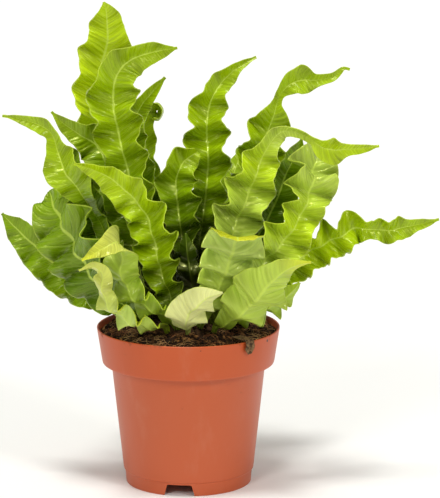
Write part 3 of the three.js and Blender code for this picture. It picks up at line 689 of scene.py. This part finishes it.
frondPaths = {  # stations from foot to tip: x, y, z and half width in mm, turn and ruffle in degrees
    "frond_tall_left": dict(heading=180, waves=9, phase=0, cup=14, path=[
        (-13.5, 21, 96, 2, 0, 0), (-15, 23, 109, 2.2, 0, 0), (-17, 30, 125, 6, 0, 30),
        (-31, 38, 157, 10, 0, 45), (-49.5, 43, 193.5, 13, 0, 45), (-59.5, 46, 233, 15.5, 0, 32),
        (-58, 47, 265, 16.5, 0, 18), (-53.5, 46, 285, 15.5, 0, 10), (-53.5, 45, 298.5, 11, 0, 3),
        (-54, 44.5, 306.5, 6, 0, 0), (-55.5, 44, 312, 0.3, 0, 0),
    ]),
    "frond_bent_tip": dict(heading=180, waves=9, phase=0, cup=20, path=[
        (-7.5, -4, 96, 2, 0, 0), (-8, -4.5, 109, 2.2, 0, 0), (-12, -4, 132.5, 6, 0, 30),
        (-26.5, -5, 166, 10, 0, 50), (-38, -5, 205.5, 14, 0, 55), (-44.5, -5, 232, 16, 0, 45),
        (-48, -5, 253.5, 16.5, 0, 35), (-46, -6, 270, 15, 0, 20), (-37, -8, 281, 11, 0, 8),
        (-23, -10, 286.5, 8, 0, 3), (-6.5, -11, 289.5, 0.3, 0, 0),
    ]),
    "frond_left_point": dict(heading=180, waves=7, phase=0, cup=18, path=[
        (-13.5, 10.5, 96, 2, 0, 0), (-15, 11.5, 109, 2.2, 0, 0), (-22, 5, 130.5, 5.5, 0, 30),
        (-37, 7, 163.5, 10, 0, 50), (-49.5, 10, 201, 13, 0, 40), (-58.5, 12, 220.5, 13, 0, 22),
        (-70.5, 13, 229, 9, 0, 10), (-82, 14, 237, 4, 0, 2), (-89, 14, 244, 0.3, 0, 0),
    ]),
    "frond_lime_arch": dict(heading=180, waves=8, phase=0, cup=22, path=[
        (-14, -10, 96, 2, 0, 0), (-15.5, -11, 109, 2.2, 0, 0), (-11, -20, 126, 8, 0, 50),
        (-17.5, -25, 147, 12, 0, 56), (-21.5, -29, 167.5, 15, 0, 56), (-27.5, -31, 186.5, 13, 0, 45),
        (-40, -32, 201, 12.5, 0, 18), (-50.5, -32, 209.5, 9, 0, 5), (-62, -40, 216.5, 4.5, 0, 0),
        (-71.5, -46, 220.5, 0.3, 0, 0),
    ]),
    "frond_far_left": dict(heading=180, waves=9, phase=0, cup=20, path=[
        (-17, 0.5, 96, 2, 0, 0), (-18.5, 0.5, 109, 2.2, 0, 0), (-27.5, -4, 124, 6, 0, 30),
        (-43.5, -5, 148, 8, 0, 45), (-52, -4, 162.5, 7, 0, 40), (-58, -3, 175.5, 5, 0, 20),
        (-64.5, -18, 189.5, 5.5, 0, 10), (-71, -33, 203.5, 10.5, 0, 12),
        (-78.5, -35, 214.5, 13.5, 0, 16), (-82.5, -28, 225, 9, 0, 10), (-86.5, -26, 236, 4.5, 0, 0),
        (-94, -24, 241.5, 6, 0, 0), (-106, -22, 245, 3, 0, 0), (-118.5, -20, 247, 0.3, 0, 0),
    ]),
    "frond_left_inner": dict(heading=180, waves=6, phase=90, path=[
        (-22, 12, 96, 2, 0, 0), (-24, 13, 109, 2.2, 0, 0), (-28.5, 16, 124.5, 6, 0, 30),
        (-47, 20, 154, 15.5, 0, 40), (-64.5, 22, 180.5, 17, 0, 40), (-77.5, 22, 201.5, 13, 0, 36),
        (-84.5, 22, 215.5, 9, 0, 15), (-87.5, 22, 223.5, 1, 0, 0),
    ]),
    "frond_left_wide": dict(heading=180, waves=6.5, phase=0, cup=12, path=[
        (-22, -11.5, 96, 2, 0, 0), (-27.5, -14.5, 109, 2.2, 0, 0), (-34.5, -23, 118, 8, 0, 28),
        (-51, -28, 132, 16, -12, 24), (-64, -28, 147.5, 22.5, -18, 22),
        (-73.5, -22, 163, 24.5, -18, 24), (-81.5, -11, 176, 24, -15, 18), (-87, -2, 184.5, 18, -2, 8),
        (-88.5, 1, 190, 11, -6, 3), (-90.5, 5, 193, 0.3, 0, 0),
    ]),
    "frond_left_low": dict(heading=180, waves=7, phase=90, cup=6, path=[
        (-24.5, 5, 96, 2, 0, 0), (-27, 5.5, 109, 2.2, 0, 0), (-33.5, 5, 113, 5.5, 0, 24),
        (-54, 4, 123.5, 11.5, 0, 34), (-73, 5, 132, 15, 0, 36), (-89.5, 8, 145.5, 15.5, 0, 28),
        (-103, 10, 158, 12.5, 0, 18), (-114, 11, 168.5, 7, 0, 5), (-122, 12, 177, 0.3, 0, 0),
    ]),
    "frond_front_left": dict(heading=0, waves=6, phase=0, path=[
        (-6, -16, 96, 2, 0, 0), (-8, -21.5, 109, 2.2, 0, 0), (-16, -31, 118.5, 6.5, 0, 40),
        (-29, -41, 127, 9.5, 0, 56), (-38.5, -47, 139, 11, 0, 52), (-42.5, -49, 151, 11.5, 0, 32),
        (-41.5, -51, 161, 11, -15, 10), (-44, -57, 171.5, 10.5, -60, 0), (-50, -62, 170.5, 8, -63, 0),
        (-58, -64, 166.5, 4, -63, 0), (-66.5, -65, 162, 0.3, -63, 0),
    ]),
    "frond_rim_left": dict(heading=0, waves=6, phase=0, path=[
        (-12.5, -21.5, 96, 2, 0, 0), (-14.5, -24.5, 109, 2.2, 0, 0), (-21, -37, 111, 5, 0, 35),
        (-33, -47, 116, 8, 0, 60), (-47.5, -54, 126.5, 8, 0, 58), (-54, -58, 139.5, 7, 0, 36),
        (-53.5, -60, 151.5, 6, 0, 12), (-59.5, -61, 157, 3.5, 0, 0), (-68.5, -62, 154.5, 0.3, 0, 0),
    ]),
    "frond_young_front": dict(heading=0, waves=3.5, phase=0, shift=40, path=[
        (0, -25, 96, 2, 0, 0), (0, -28.5, 109, 2.2, 0, 0), (-1, -39, 110.5, 9.5, 0, 16),
        (-1, -47, 118, 12.5, 0, 22), (3, -54, 126.5, 14.5, 0, 18), (12, -58, 135.5, 9.5, 0, 10),
        (22.5, -60, 140, 0.3, 0, 0),
    ]),
    "frond_tall_centre": dict(heading=180, waves=9, phase=280, cup=22, path=[
        (4.5, 16.5, 96, 2, 0, 0), (5, 18, 109, 2.2, 0, 0), (4, 20, 124, 6, 0, 30),
        (7, 23, 153.5, 10.5, 0, 45), (11, 26, 183, 14, 0, 55), (13, 28, 209.5, 15, 0, 55),
        (12, 29, 229.5, 15, 0, 50), (14, 30, 246, 12, 0, 40), (19.5, 31, 257.5, 8.5, 0, 20),
        (28.5, 31, 267.5, 5.5, 0, 5), (37, 31, 273.5, 2.5, 0, 0), (44.5, 31, 277.5, 0.3, 0, 0),
    ]),
    "frond_centre_left": dict(heading=180, waves=7, phase=0, path=[
        (0, 0, 96, 2, 0, 0), (0, 0, 109, 2.2, 0, 0), (0, 5, 127, 6, 0, 30), (-3.5, 10, 156, 10, 0, 50),
        (-6.5, 12, 179, 15, 0, 38), (-8, 12, 198, 13, 0, 28), (-3.5, 12, 210.5, 11.5, 0, 26),
        (6, 12, 218, 4, 0, 0),
    ]),
    "frond_right_twist": dict(heading=180, waves=10, phase=0, path=[
        (7.5, 4.5, 96, 2, 0, 0), (8, 5, 109, 2.2, 0, 0), (12, 9, 126, 6, 0, 30),
        (24.5, 12, 156, 10, 0, 45), (37, 13, 185.5, 13, 0, 55), (45, 13, 209, 15.5, 0, 55),
        (50.5, 13, 227, 14.5, 0, 40), (56, 13, 242.5, 10.5, 0, 12), (58, 13, 250.5, 3.6, 0, 0),
        (61, 13, 257, 3.8, 0, 0), (67.5, 13, 263, 8.5, 0, 8), (75.5, 13, 265, 9.5, 0, 12),
        (83.5, 13, 265, 5, 0, 4), (94, 13, 267, 3, 0, 0), (100.5, 13, 272.5, 1.4, 0, 0),
        (105, 13, 272, 0.3, 0, 0),
    ]),
    "frond_right_ball": dict(heading=180, waves=10, phase=0, shift=25, path=[
        (17, 1.5, 96, 2, 0, 0), (18.5, 1.5, 109, 2.2, 0, 0), (17, -3, 122, 7, 0, 30),
        (23.5, -8, 148.5, 13, 0, 38), (30.5, -12, 173.5, 16.5, 0, 38), (38, -14, 192, 16.5, 0, 38),
        (44.5, -15, 209.5, 15, 0, 34), (50.5, -16, 224.5, 9, 0, 18), (60, -17, 236, 5, 0, 4),
        (70.5, -20, 236, 3.6, 0, 0), (79.5, -23, 232, 3, 0, 0), (86.5, -25, 227.5, 8, 0, 6),
        (93.5, -26, 226, 9.5, 0, 8), (101.5, -26, 226.5, 5.5, 0, 0), (111.5, -26, 227, 3.5, 0, 0),
        (122.5, -26, 228.5, 0.3, 0, 0),
    ]),
    "frond_right_back": dict(heading=180, waves=6.5, phase=90, path=[
        (13, 11, 96, 2, 0, 0), (14.5, 12, 109, 2.2, 0, 0), (23.5, 15, 128.5, 6, 0, 30),
        (42, 20, 154, 13, 0, 45), (56.5, 24, 180, 15, 0, 45), (64, 26, 200, 12.5, 0, 30),
        (70.5, 27, 213, 7, 0, 6), (74.5, 27, 224, 0.3, 0, 0),
    ]),
    "frond_right_face": dict(heading=180, waves=9, phase=0, shift=25, path=[
        (14.5, -8.5, 96, 2, 0, 0), (16, -9.5, 109, 2.2, 0, 0), (23.5, -15, 119.5, 7, 0, 30),
        (38, -20, 137.5, 12, 0, 38), (51.5, -24, 155, 16, 0, 38), (63, -27, 168, 16.5, 0, 36),
        (72, -25, 182, 13, 0, 33), (76, -23, 190.5, 14.5, 0, 36), (79.5, -19, 200.5, 16.5, 0, 38),
        (81, -10, 210, 16.5, 0, 28), (83, -2, 215, 14, 0, 12), (85, 6, 216, 9, 0, 0),
        (86, 13, 213, 0.3, 0, 0),
    ]),
    "frond_far_right": dict(heading=180, waves=10, phase=0, path=[
        (25, -1, 96, 2, 0, 0), (27.5, -1, 109, 2.2, 0, 0), (32.5, -2, 118, 7, 0, 30),
        (49.5, -4, 133, 12, 0, 45), (67.5, -5, 146.5, 14, 0, 49), (83, -5, 157.5, 14, 0, 49),
        (97.5, -5, 164.5, 13, 0, 49), (109, -5, 170.5, 11, 0, 44), (121, -5, 169.5, 7, 0, 30),
        (132.5, -5, 169.5, 9, 0, 30), (144, -5, 172, 6, 0, 10), (154.5, -5, 174, 3, 0, 0),
        (163, -5, 176.5, 0.3, 0, 0),
    ]),
    "frond_front_fold": dict(heading=0, waves=6, phase=0, cup=11, shift=25, path=[
        (6.5, -16, 96, 2, 0, 0), (8, -19, 109, 2.2, 0, 0), (13, -28, 124.5, 9, 0, 28),
        (21.5, -38, 141.5, 15, 0, 32), (26.5, -45, 155.5, 18, 0, 30), (29.5, -50, 167, 19, 0, 22),
        (31, -55, 173.5, 18.5, 0, 12), (31.5, -61, 176, 15.5, 0, 0), (32, -66, 174.5, 11, 0, 0),
    ]),
    "frond_front_right": dict(heading=0, waves=4.5, phase=0, shift=30, path=[
        (15, -19, 96, 2, 0, 0), (18, -23, 109, 2.2, 0, 0), (22.5, -30, 111, 6, 0, 20),
        (31.5, -40, 119.5, 14, -4, 26), (39.5, -47, 127.5, 18.5, -8, 24),
        (45.5, -52, 136, 19.5, -10, 20), (52, -56, 144, 16, -8, 14), (60, -58, 152.5, 9, -4, 4),
        (69.5, -58, 157.5, 4, 0, 0), (78.5, -57, 159, 0.3, 0, 0),
    ]),
    "frond_low_right": dict(heading=0, waves=5.5, phase=0, path=[
        (21, -13.5, 96, 2, 0, 0), (25, -16, 109, 2.2, 0, 0), (30, -20, 111.5, 7, 0, 30),
        (44, -28, 119.5, 11, 0, 34), (56, -33, 127, 11.5, 0, 28), (66, -33, 133.5, 7, 0, 14),
        (72, -33, 140.5, 0.3, 0, 0),
    ]),
    "frond_spike_tip": dict(heading=180, waves=7.5, phase=90, path=[
        (-8.5, 5, 96, 2, 0, 0), (-9.5, 5.5, 109, 2.2, 0, 0), (-11, 13, 125.5, 5, 0, 28),
        (-22, 19, 164.5, 9, 0, 45), (-31.5, 20, 201, 10, 0, 40), (-37.5, 20, 226.5, 10, 0, 30),
        (-31.5, 19, 245.5, 6.5, 0, 12), (-23.5, 19, 256, 4.5, 0, 0), (-15, 19, 266, 0.3, 0, 0),
    ]),
    "frond_coil_tip": dict(heading=180, waves=8, phase=0, path=[
        (-6, 16, 96, 2, 0, 0), (-6.5, 17.5, 109, 2.2, 0, 0), (-7.5, 20, 124, 5, 0, 30),
        (-15, 25, 153, 7, 0, 45), (-22, 30, 182.5, 8, 0, 45), (-26.5, 33, 205.5, 6.5, 0, 40),
        (-28.5, 34, 225, 7, 0, 20), (-29, 34, 237, 7, 16, 0), (-26, 34, 244.5, 7, 42, 0),
        (-20, 33.5, 246.5, 6.6, 56, 0), (-16.5, 33, 241.5, 6, 60, 0), (-19.5, 32, 235.5, 5, 60, 0),
        (-24, 30.5, 236.5, 3, 60, 0),
    ]),
    "frond_inner_small": dict(heading=0, waves=4, phase=0, path=[
        (7.5, -4.5, 96, 2, 0, 0), (8, -5, 109, 2.2, 0, 0), (4.5, -9, 121.5, 5, 0, 30),
        (2, -12, 139, 7, 0, 50), (-0.5, -12, 155.5, 6, 0, 36), (-1.5, -11, 168.5, 0.5, 0, 0),
    ]),
    "frond_back_right": dict(heading=150, waves=7.5, phase=0, path=[
        (13.5, 21, 96, 2, 0, 0), (15, 23, 109, 2.2, 0, 0), (22, 35, 120.5, 6, 0, 30),
        (38, 52, 140.5, 13, 0, 50), (51.5, 62, 157, 15, 0, 45), (62.5, 70, 172, 13, 0, 30),
        (70.5, 76, 183, 7, 0, 6), (75, 80, 192, 0.3, 0, 0),
    ]),
    "frond_back": dict(heading=180, waves=7.5, phase=0, path=[
        (4.5, 25, 96, 2, 0, 0), (5, 27.5, 109, 2.2, 0, 0), (6.5, 48, 121, 6.5, 0, 30),
        (14, 61, 145.5, 12, 0, 50), (22, 72, 167.5, 15, 0, 45), (28, 84, 184.5, 13, 0, 30),
        (32.5, 94, 195.5, 6, 0, 6), (34.5, 100, 203.5, 0.3, 0, 0),
    ]),
    "frond_back_left": dict(heading=210, waves=7.5, phase=90, path=[
        (-5, 24.5, 96, 2, 0, 0), (-5.5, 27, 109, 2.2, 0, 0), (-14, 42, 122.5, 7, 0, 30),
        (-25, 56, 146.5, 13, 0, 50), (-36.5, 68, 168, 16, 0, 45), (-47, 80, 185, 13, 0, 30),
        (-54, 90, 195, 6, 0, 6), (-59, 96, 203, 0.3, 0, 0),
    ]),
}
frondTones = {  # from foot to tip: the upper face, then the underside; the dark tones at the feet are partly the leaves' own deeper green and partly painted shade inside the rosette
    "frond_tall_left": ("bright lime fresh fresh lime", "sage sage mist"),
    "frond_bent_tip": ("deep leaf bright bright", "sage sage mist"),
    "frond_left_point": ("deep leaf leaf bright", "sage sage"),
    "frond_lime_arch": ("leaf leaf bright bright lime lime", "sage mist"),
    "frond_far_left": ("deep leaf leaf bright bright", "leaf sage"),
    "frond_left_inner": ("deep deep leaf", "leaf sage"),
    "frond_left_wide": ("night deep deep leaf leaf", "sage sage"),
    "frond_left_low": ("deep leaf leaf leaf", "sage sage"),
    "frond_front_left": ("leaf bright lime wax wax sun", "leaf sage sage mist lime"),
    "frond_rim_left": ("lime sun sun", "lime mist pale wax wax"),
    "frond_young_front": ("lime wax cream", "mist cream cream"),
    "frond_tall_centre": ("night leaf bright bright", "sage sage"),
    "frond_centre_left": ("night deep leaf bright", "sage sage"),
    "frond_right_twist": ("night leaf bright bright", "sage mist"),
    "frond_right_ball": ("leaf lime mist mist lime mist lime lime", "sage mist lime"),
    "frond_right_back": ("deep deep leaf", "sage sage"),
    "frond_right_face": ("bright mist mist lime mist mist", "sage mist"),
    "frond_far_right": ("leaf leaf lime bright bright", "sage sage mist"),
    "frond_front_fold": ("leaf bright sun sun", "sage mist mist pale pale"),
    "frond_front_right": ("leaf bright lime", "sage sage mist mist mist sun"),
    "frond_low_right": ("leaf bright", "leaf sage bright"),
    "frond_spike_tip": ("deep leaf bright", "sage sage"),
    "frond_coil_tip": ("deep leaf bright lime", "sage lime"),
    "frond_inner_small": ("night deep", "night deep"),
    "frond_back_right": ("deep leaf bright", "sage sage"),
    "frond_back": ("deep leaf bright", "sage sage"),
    "frond_back_left": ("deep leaf bright", "sage sage"),
}


def bladeFinish(name, look, face):
    finish = Finish(name)
    out, vein, share = finish.split(finish.attribute("bladePlace"))
    crest = finish.attribute("crest", "Fac")
    # painted shade among the leaves, which also dims the pale rib and margin
    gloom = finish.attribute("gloom", "Fac")
    tone = finish.attribute(face["tone"], "Color")
    streak = finish.noise(finish.joined(out * 0.05, vein * 0.6, 0), 1, 3, 0.6)
    hair = finish.noise(finish.joined(out * 0.1, vein * 1.5, 4), 1, 2, 0.5)
    blotch = finish.noise(finish.place(), 45, 2)
    level = face["level"] + streak * face["streak"] + hair * face["hair"]
    # the tone painted lighter on the wave crests and darker in the troughs, as painted light and shade
    body = finish.shaded(tone, level + blotch * face["blotch"] + crest * face["crest"])
    rib = 1 - finish.step(share, *look["ribSpan"])
    edge = finish.step(share, *look["edgeSpan"])
    relief = (streak * 0.9 + hair * 0.2) * finish.step(out, *look["reliefSpan"])
    ribbed = finish.mix(body, look["ribColour"], rib * gloom * face["ribShare"])
    colour = finish.mix(ribbed, look["edgeColour"], edge * gloom * look["edgeShare"])
    return finish.surface({
        "Base Color": colour,
        "Roughness": face["roughness"] + streak * 0.2,
        "Specular IOR Level": 0.74,
        "Specular Tint": look["glint"],
        "Coat Weight": 0.14,
        "Coat Roughness": 0.1,
        "Subsurface Weight": 0.08,
        "Subsurface Radius": (1, 0.9, 0.1),
        "Subsurface Scale": 2 * mm,
        "Normal": finish.bump(relief, face["relief"] * mm, 0.9),
    })


def midrib(frond, look):  # stations evenly spaced along the frond's midrib, and its length
    fine = [stationAt(frond["path"], i / look["samples"]) for i in range(look["samples"] + 1)]
    lengths = [0]
    for before, after in zip(fine, fine[1:]):
        lengths.append(lengths[-1] + math.dist(before[:3], after[:3]))
    count = round(lengths[-1] / look["rowPitch"])
    stations = []
    j = 0
    for i in range(count + 1):
        wanted = lengths[-1] * i / count
        while j < look["samples"] - 1 and lengths[j + 1] < wanted:
            j += 1
        share = (wanted - lengths[j]) / (lengths[j + 1] - lengths[j])
        row = mixed(fine[j], fine[j + 1], share)
        stations.append({"place": Vector(row[:3]), "halfWidth": max(row[3], look["tipHalfWidth"]),
                         "turn": math.radians(row[4]), "ruffle": math.radians(row[5])})
    heading = math.radians(frond["heading"])
    side = Vector((math.cos(heading), math.sin(heading), 0))
    for i, station in enumerate(stations):
        tangent = stations[min(i + 1, count)]["place"] - stations[max(i - 1, 0)]["place"]
        tangent.normalize()
        side = (side - tangent * side.dot(tangent)).normalized()
        station["side"] = Matrix.Rotation(station["turn"], 3, tangent) @ side
        station["normal"] = tangent.cross(station["side"])
    return stations, lengths[-1]


def acrossShares(look):  # where the columns of one half stand, closer at the rib and the margin
    cells = look["cells"]
    evenly = [i / cells for i in range(cells + 1)]
    return [s - look["edgeCrowd"] * math.sin(math.tau * s) for s in evenly]


def waveRow(station, share, frond, look, seed):
    # the smooth sheet: places from the left margin over the midrib to the right margin
    along = max(share - look["stalkShare"], 0) / (1 - look["stalkShare"])
    phase = math.tau * frond["waves"] * along + math.radians(frond["phase"])
    phase += look["stray"] * wander(along * 5, seed)
    ruffle = station["ruffle"] * (1 + look["waveStray"] * wander(along * 4 + 9, seed))
    lead = math.radians(look["skew"])
    rightShift = math.radians(frond.get("shift", look["rightShift"]))
    beat = math.sin(phase + lead + rightShift / 2)
    heave = look["heave"] * ruffle * station["halfWidth"] / look["commonHalf"] * beat
    root = station["place"] + station["normal"] * heave
    cup = math.radians(frond.get("cup", look["cup"])) * min(1, along * look["cupRise"])
    shares = acrossShares(look)
    halves = []
    for hand in (-1, 1):
        shift = rightShift if hand > 0 else 0
        place = root.copy()
        distance = 0
        spots = []
        for inner, outer in zip(shares, shares[1:]):
            out = (inner + outer) / 2
            turn = phase + shift + lead * (1 - out)
            stray = 2 * wander(along * 6, seed + hand)
            wave = math.sin(turn) + look["crimp"] * math.sin(2 * turn + 1 + stray)
            wave -= look["square"] * math.sin(3 * turn)
            wave *= look["waveSize"] * out ** look["growth"]
            swing = cup + ruffle * wave
            step = station["halfWidth"] * (outer - inner) * (1 - look["lobe"] * wave)
            place = (place + station["side"] * (hand * step * math.cos(swing))
                     + station["normal"] * (step * math.sin(swing)))
            distance += step
            face = station["normal"] * math.cos(swing) - station["side"] * (hand * math.sin(swing))
            spots.append((place, face, distance, wave))
        halves.append(spots)
    return halves[0][::-1] + [(root, station["normal"], 0, 0)] + halves[1]


def spotAt(rows, row, column, slant):  # a place between rows, so that columns can lag along the veins
    place = min(row + slant, len(rows) - 1.001)
    low, high = rows[int(place)][column], rows[int(place) + 1][column]
    t = place % 1
    return low[0].lerp(high[0], t), low[1].lerp(high[1], t), low[2] + (high[2] - low[2]) * t, low[3]


def pleatAt(vein, share, along, halfWidth, look, seed):  # how far a pleat lifts the sheet, in mm
    drift = look["pleatDrift"] * wander(vein / look["driftPitch"], seed)
    fine = math.sin(math.tau * vein / look["pleatPitch"] + drift)
    broad = math.sin(math.tau * vein / (look["broadPitch"] * look["pleatPitch"]) + 2 * drift + 1)
    strength = look["pleatEven"] + look["pleatStray"] * wander(vein / look["strayPitch"], seed + 5)
    wide = min(look["pleatMost"], (halfWidth / look["commonHalf"]) ** 1.5)
    fade = math.sin(math.pi * (0.06 + 0.82 * share)) * wide * min(1, along * look["footRamp"])
    waves = look["fineShare"] * fine + look["broadShare"] * broad
    return look["pleatHeight"] * strength * fade * waves


def toneAt(names, along, gloom):
    colours = [palette[name] for name in names.split()]
    place = min(along, 0.9999) * (len(colours) - 1)
    tone = mixed(colours[int(place)], colours[int(place) + 1], place % 1)
    # the tone darkened by the painted shade
    return [part * gloom for part in tone[:3]] + [1]


def paintedShadeAt(place, look):  # painted shade: 1 in the open, less low down among the other leaves, where the leaf colours are darkened
    low = clamped((look["top"] - place.z) / look["depth"])
    away = math.hypot(place.x - look["across"], place.y - look["back"])
    return 1 - look["dark"] * low * clamped((look["reach"] - away) / look["fade"])


def heftAt(share, along, look):  # the blade's thickness in millimetres
    stalk = max(0, 1 - along / (2 * look["stalkShare"]))
    rib = look["rib"] + (look["ribTip"] - look["rib"]) * along ** 0.7
    swell = math.exp(-(share / look["ribWidth"]) ** 2)
    thin = look["blade"] + (rib - look["blade"]) * swell
    stout = look["stalkEdge"] + (look["stalk"] - look["stalkEdge"]) * (1 - share)
    return thin + (stout - thin) * stalk


def shapeBlade(bm, frond, tones, look, seed):  # a grid laid over the rows, with what its finishes read
    stations, length = midrib(frond, look)
    last = len(stations) - 1
    rows = [waveRow(station, i / last, frond, look, seed) for i, station in enumerate(stations)]
    shares = acrossShares(look)
    middle = look["cells"]
    bmesh.ops.create_grid(bm, x_segments=2 * middle, y_segments=last, size=1)
    bmesh.ops.reverse_faces(bm, faces=bm.faces)
    blades = bm.verts.layers.float_vector.new("bladePlace")
    crestShades = bm.verts.layers.float.new("crest")
    paintedShades = bm.verts.layers.float.new("gloom")
    uppers = bm.verts.layers.float_color.new("upperTone")
    unders = bm.verts.layers.float_color.new("underTone")
    hefts = bm.verts.layers.deform.new("heft")
    for vert in bm.verts:
        column = round((vert.co.x + 1) * middle)
        row = round((vert.co.y + 1) / 2 * last)
        share = shares[abs(column - middle)]
        halfWidth = stations[row]["halfWidth"]
        slant = look["veinSlope"] * halfWidth * share / length * last
        slant *= min(1, row / last * look["footRamp"])
        place, face, out, wave = spotAt(rows, row, column, slant)
        along = min(1, (row + slant) / last)
        hand = 1 if column > middle else -1
        vein = row / last * length
        lift = pleatAt(vein, share, along, halfWidth, look, seed + hand)
        vert.co = (place + face * lift) * mm
        # painted shade, which darkens both tones low down among the other leaves
        gloom = paintedShadeAt(place, paintedShadeLook)
        vert[blades] = (out, vein + look["handGap"] * hand, share)
        # the wave value, which the finishes use for painted light on the crests and painted shade in
        # the troughs
        vert[crestShades] = wave
        vert[paintedShades] = gloom
        vert[uppers] = toneAt(tones[0], along, gloom)
        vert[unders] = toneAt(tones[1], along, gloom)
        vert[hefts][0] = heftAt(share, along, look) / look["stalk"]


def makeFrond(name, frond, tones, finishes, look, seed):
    bm = bmesh.new()
    shapeBlade(bm, frond, tones, look, seed)
    piece = finished(name.replace("frond_", "") + "_leaf", bm, finishes, name)
    piece.vertex_groups.new(name="heft")
    wall = piece.modifiers.new("wall", "SOLIDIFY")
    wall.thickness = look["stalk"] * mm
    wall.offset = 0
    wall.vertex_group = "heft"
    wall.material_offset = 1
    wall.use_rim = True


def makeFronds():
    finishes = [bladeFinish("leafUpper", bladeLook, upperLook),
                bladeFinish("leafUnder", bladeLook, underLook)]
    for seed, (name, frond) in enumerate(frondPaths.items()):
        makeFrond(name, frond, frondTones[name], finishes, bladeLook, seed)
    print(len(frondPaths), "fronds made")


makeFronds()
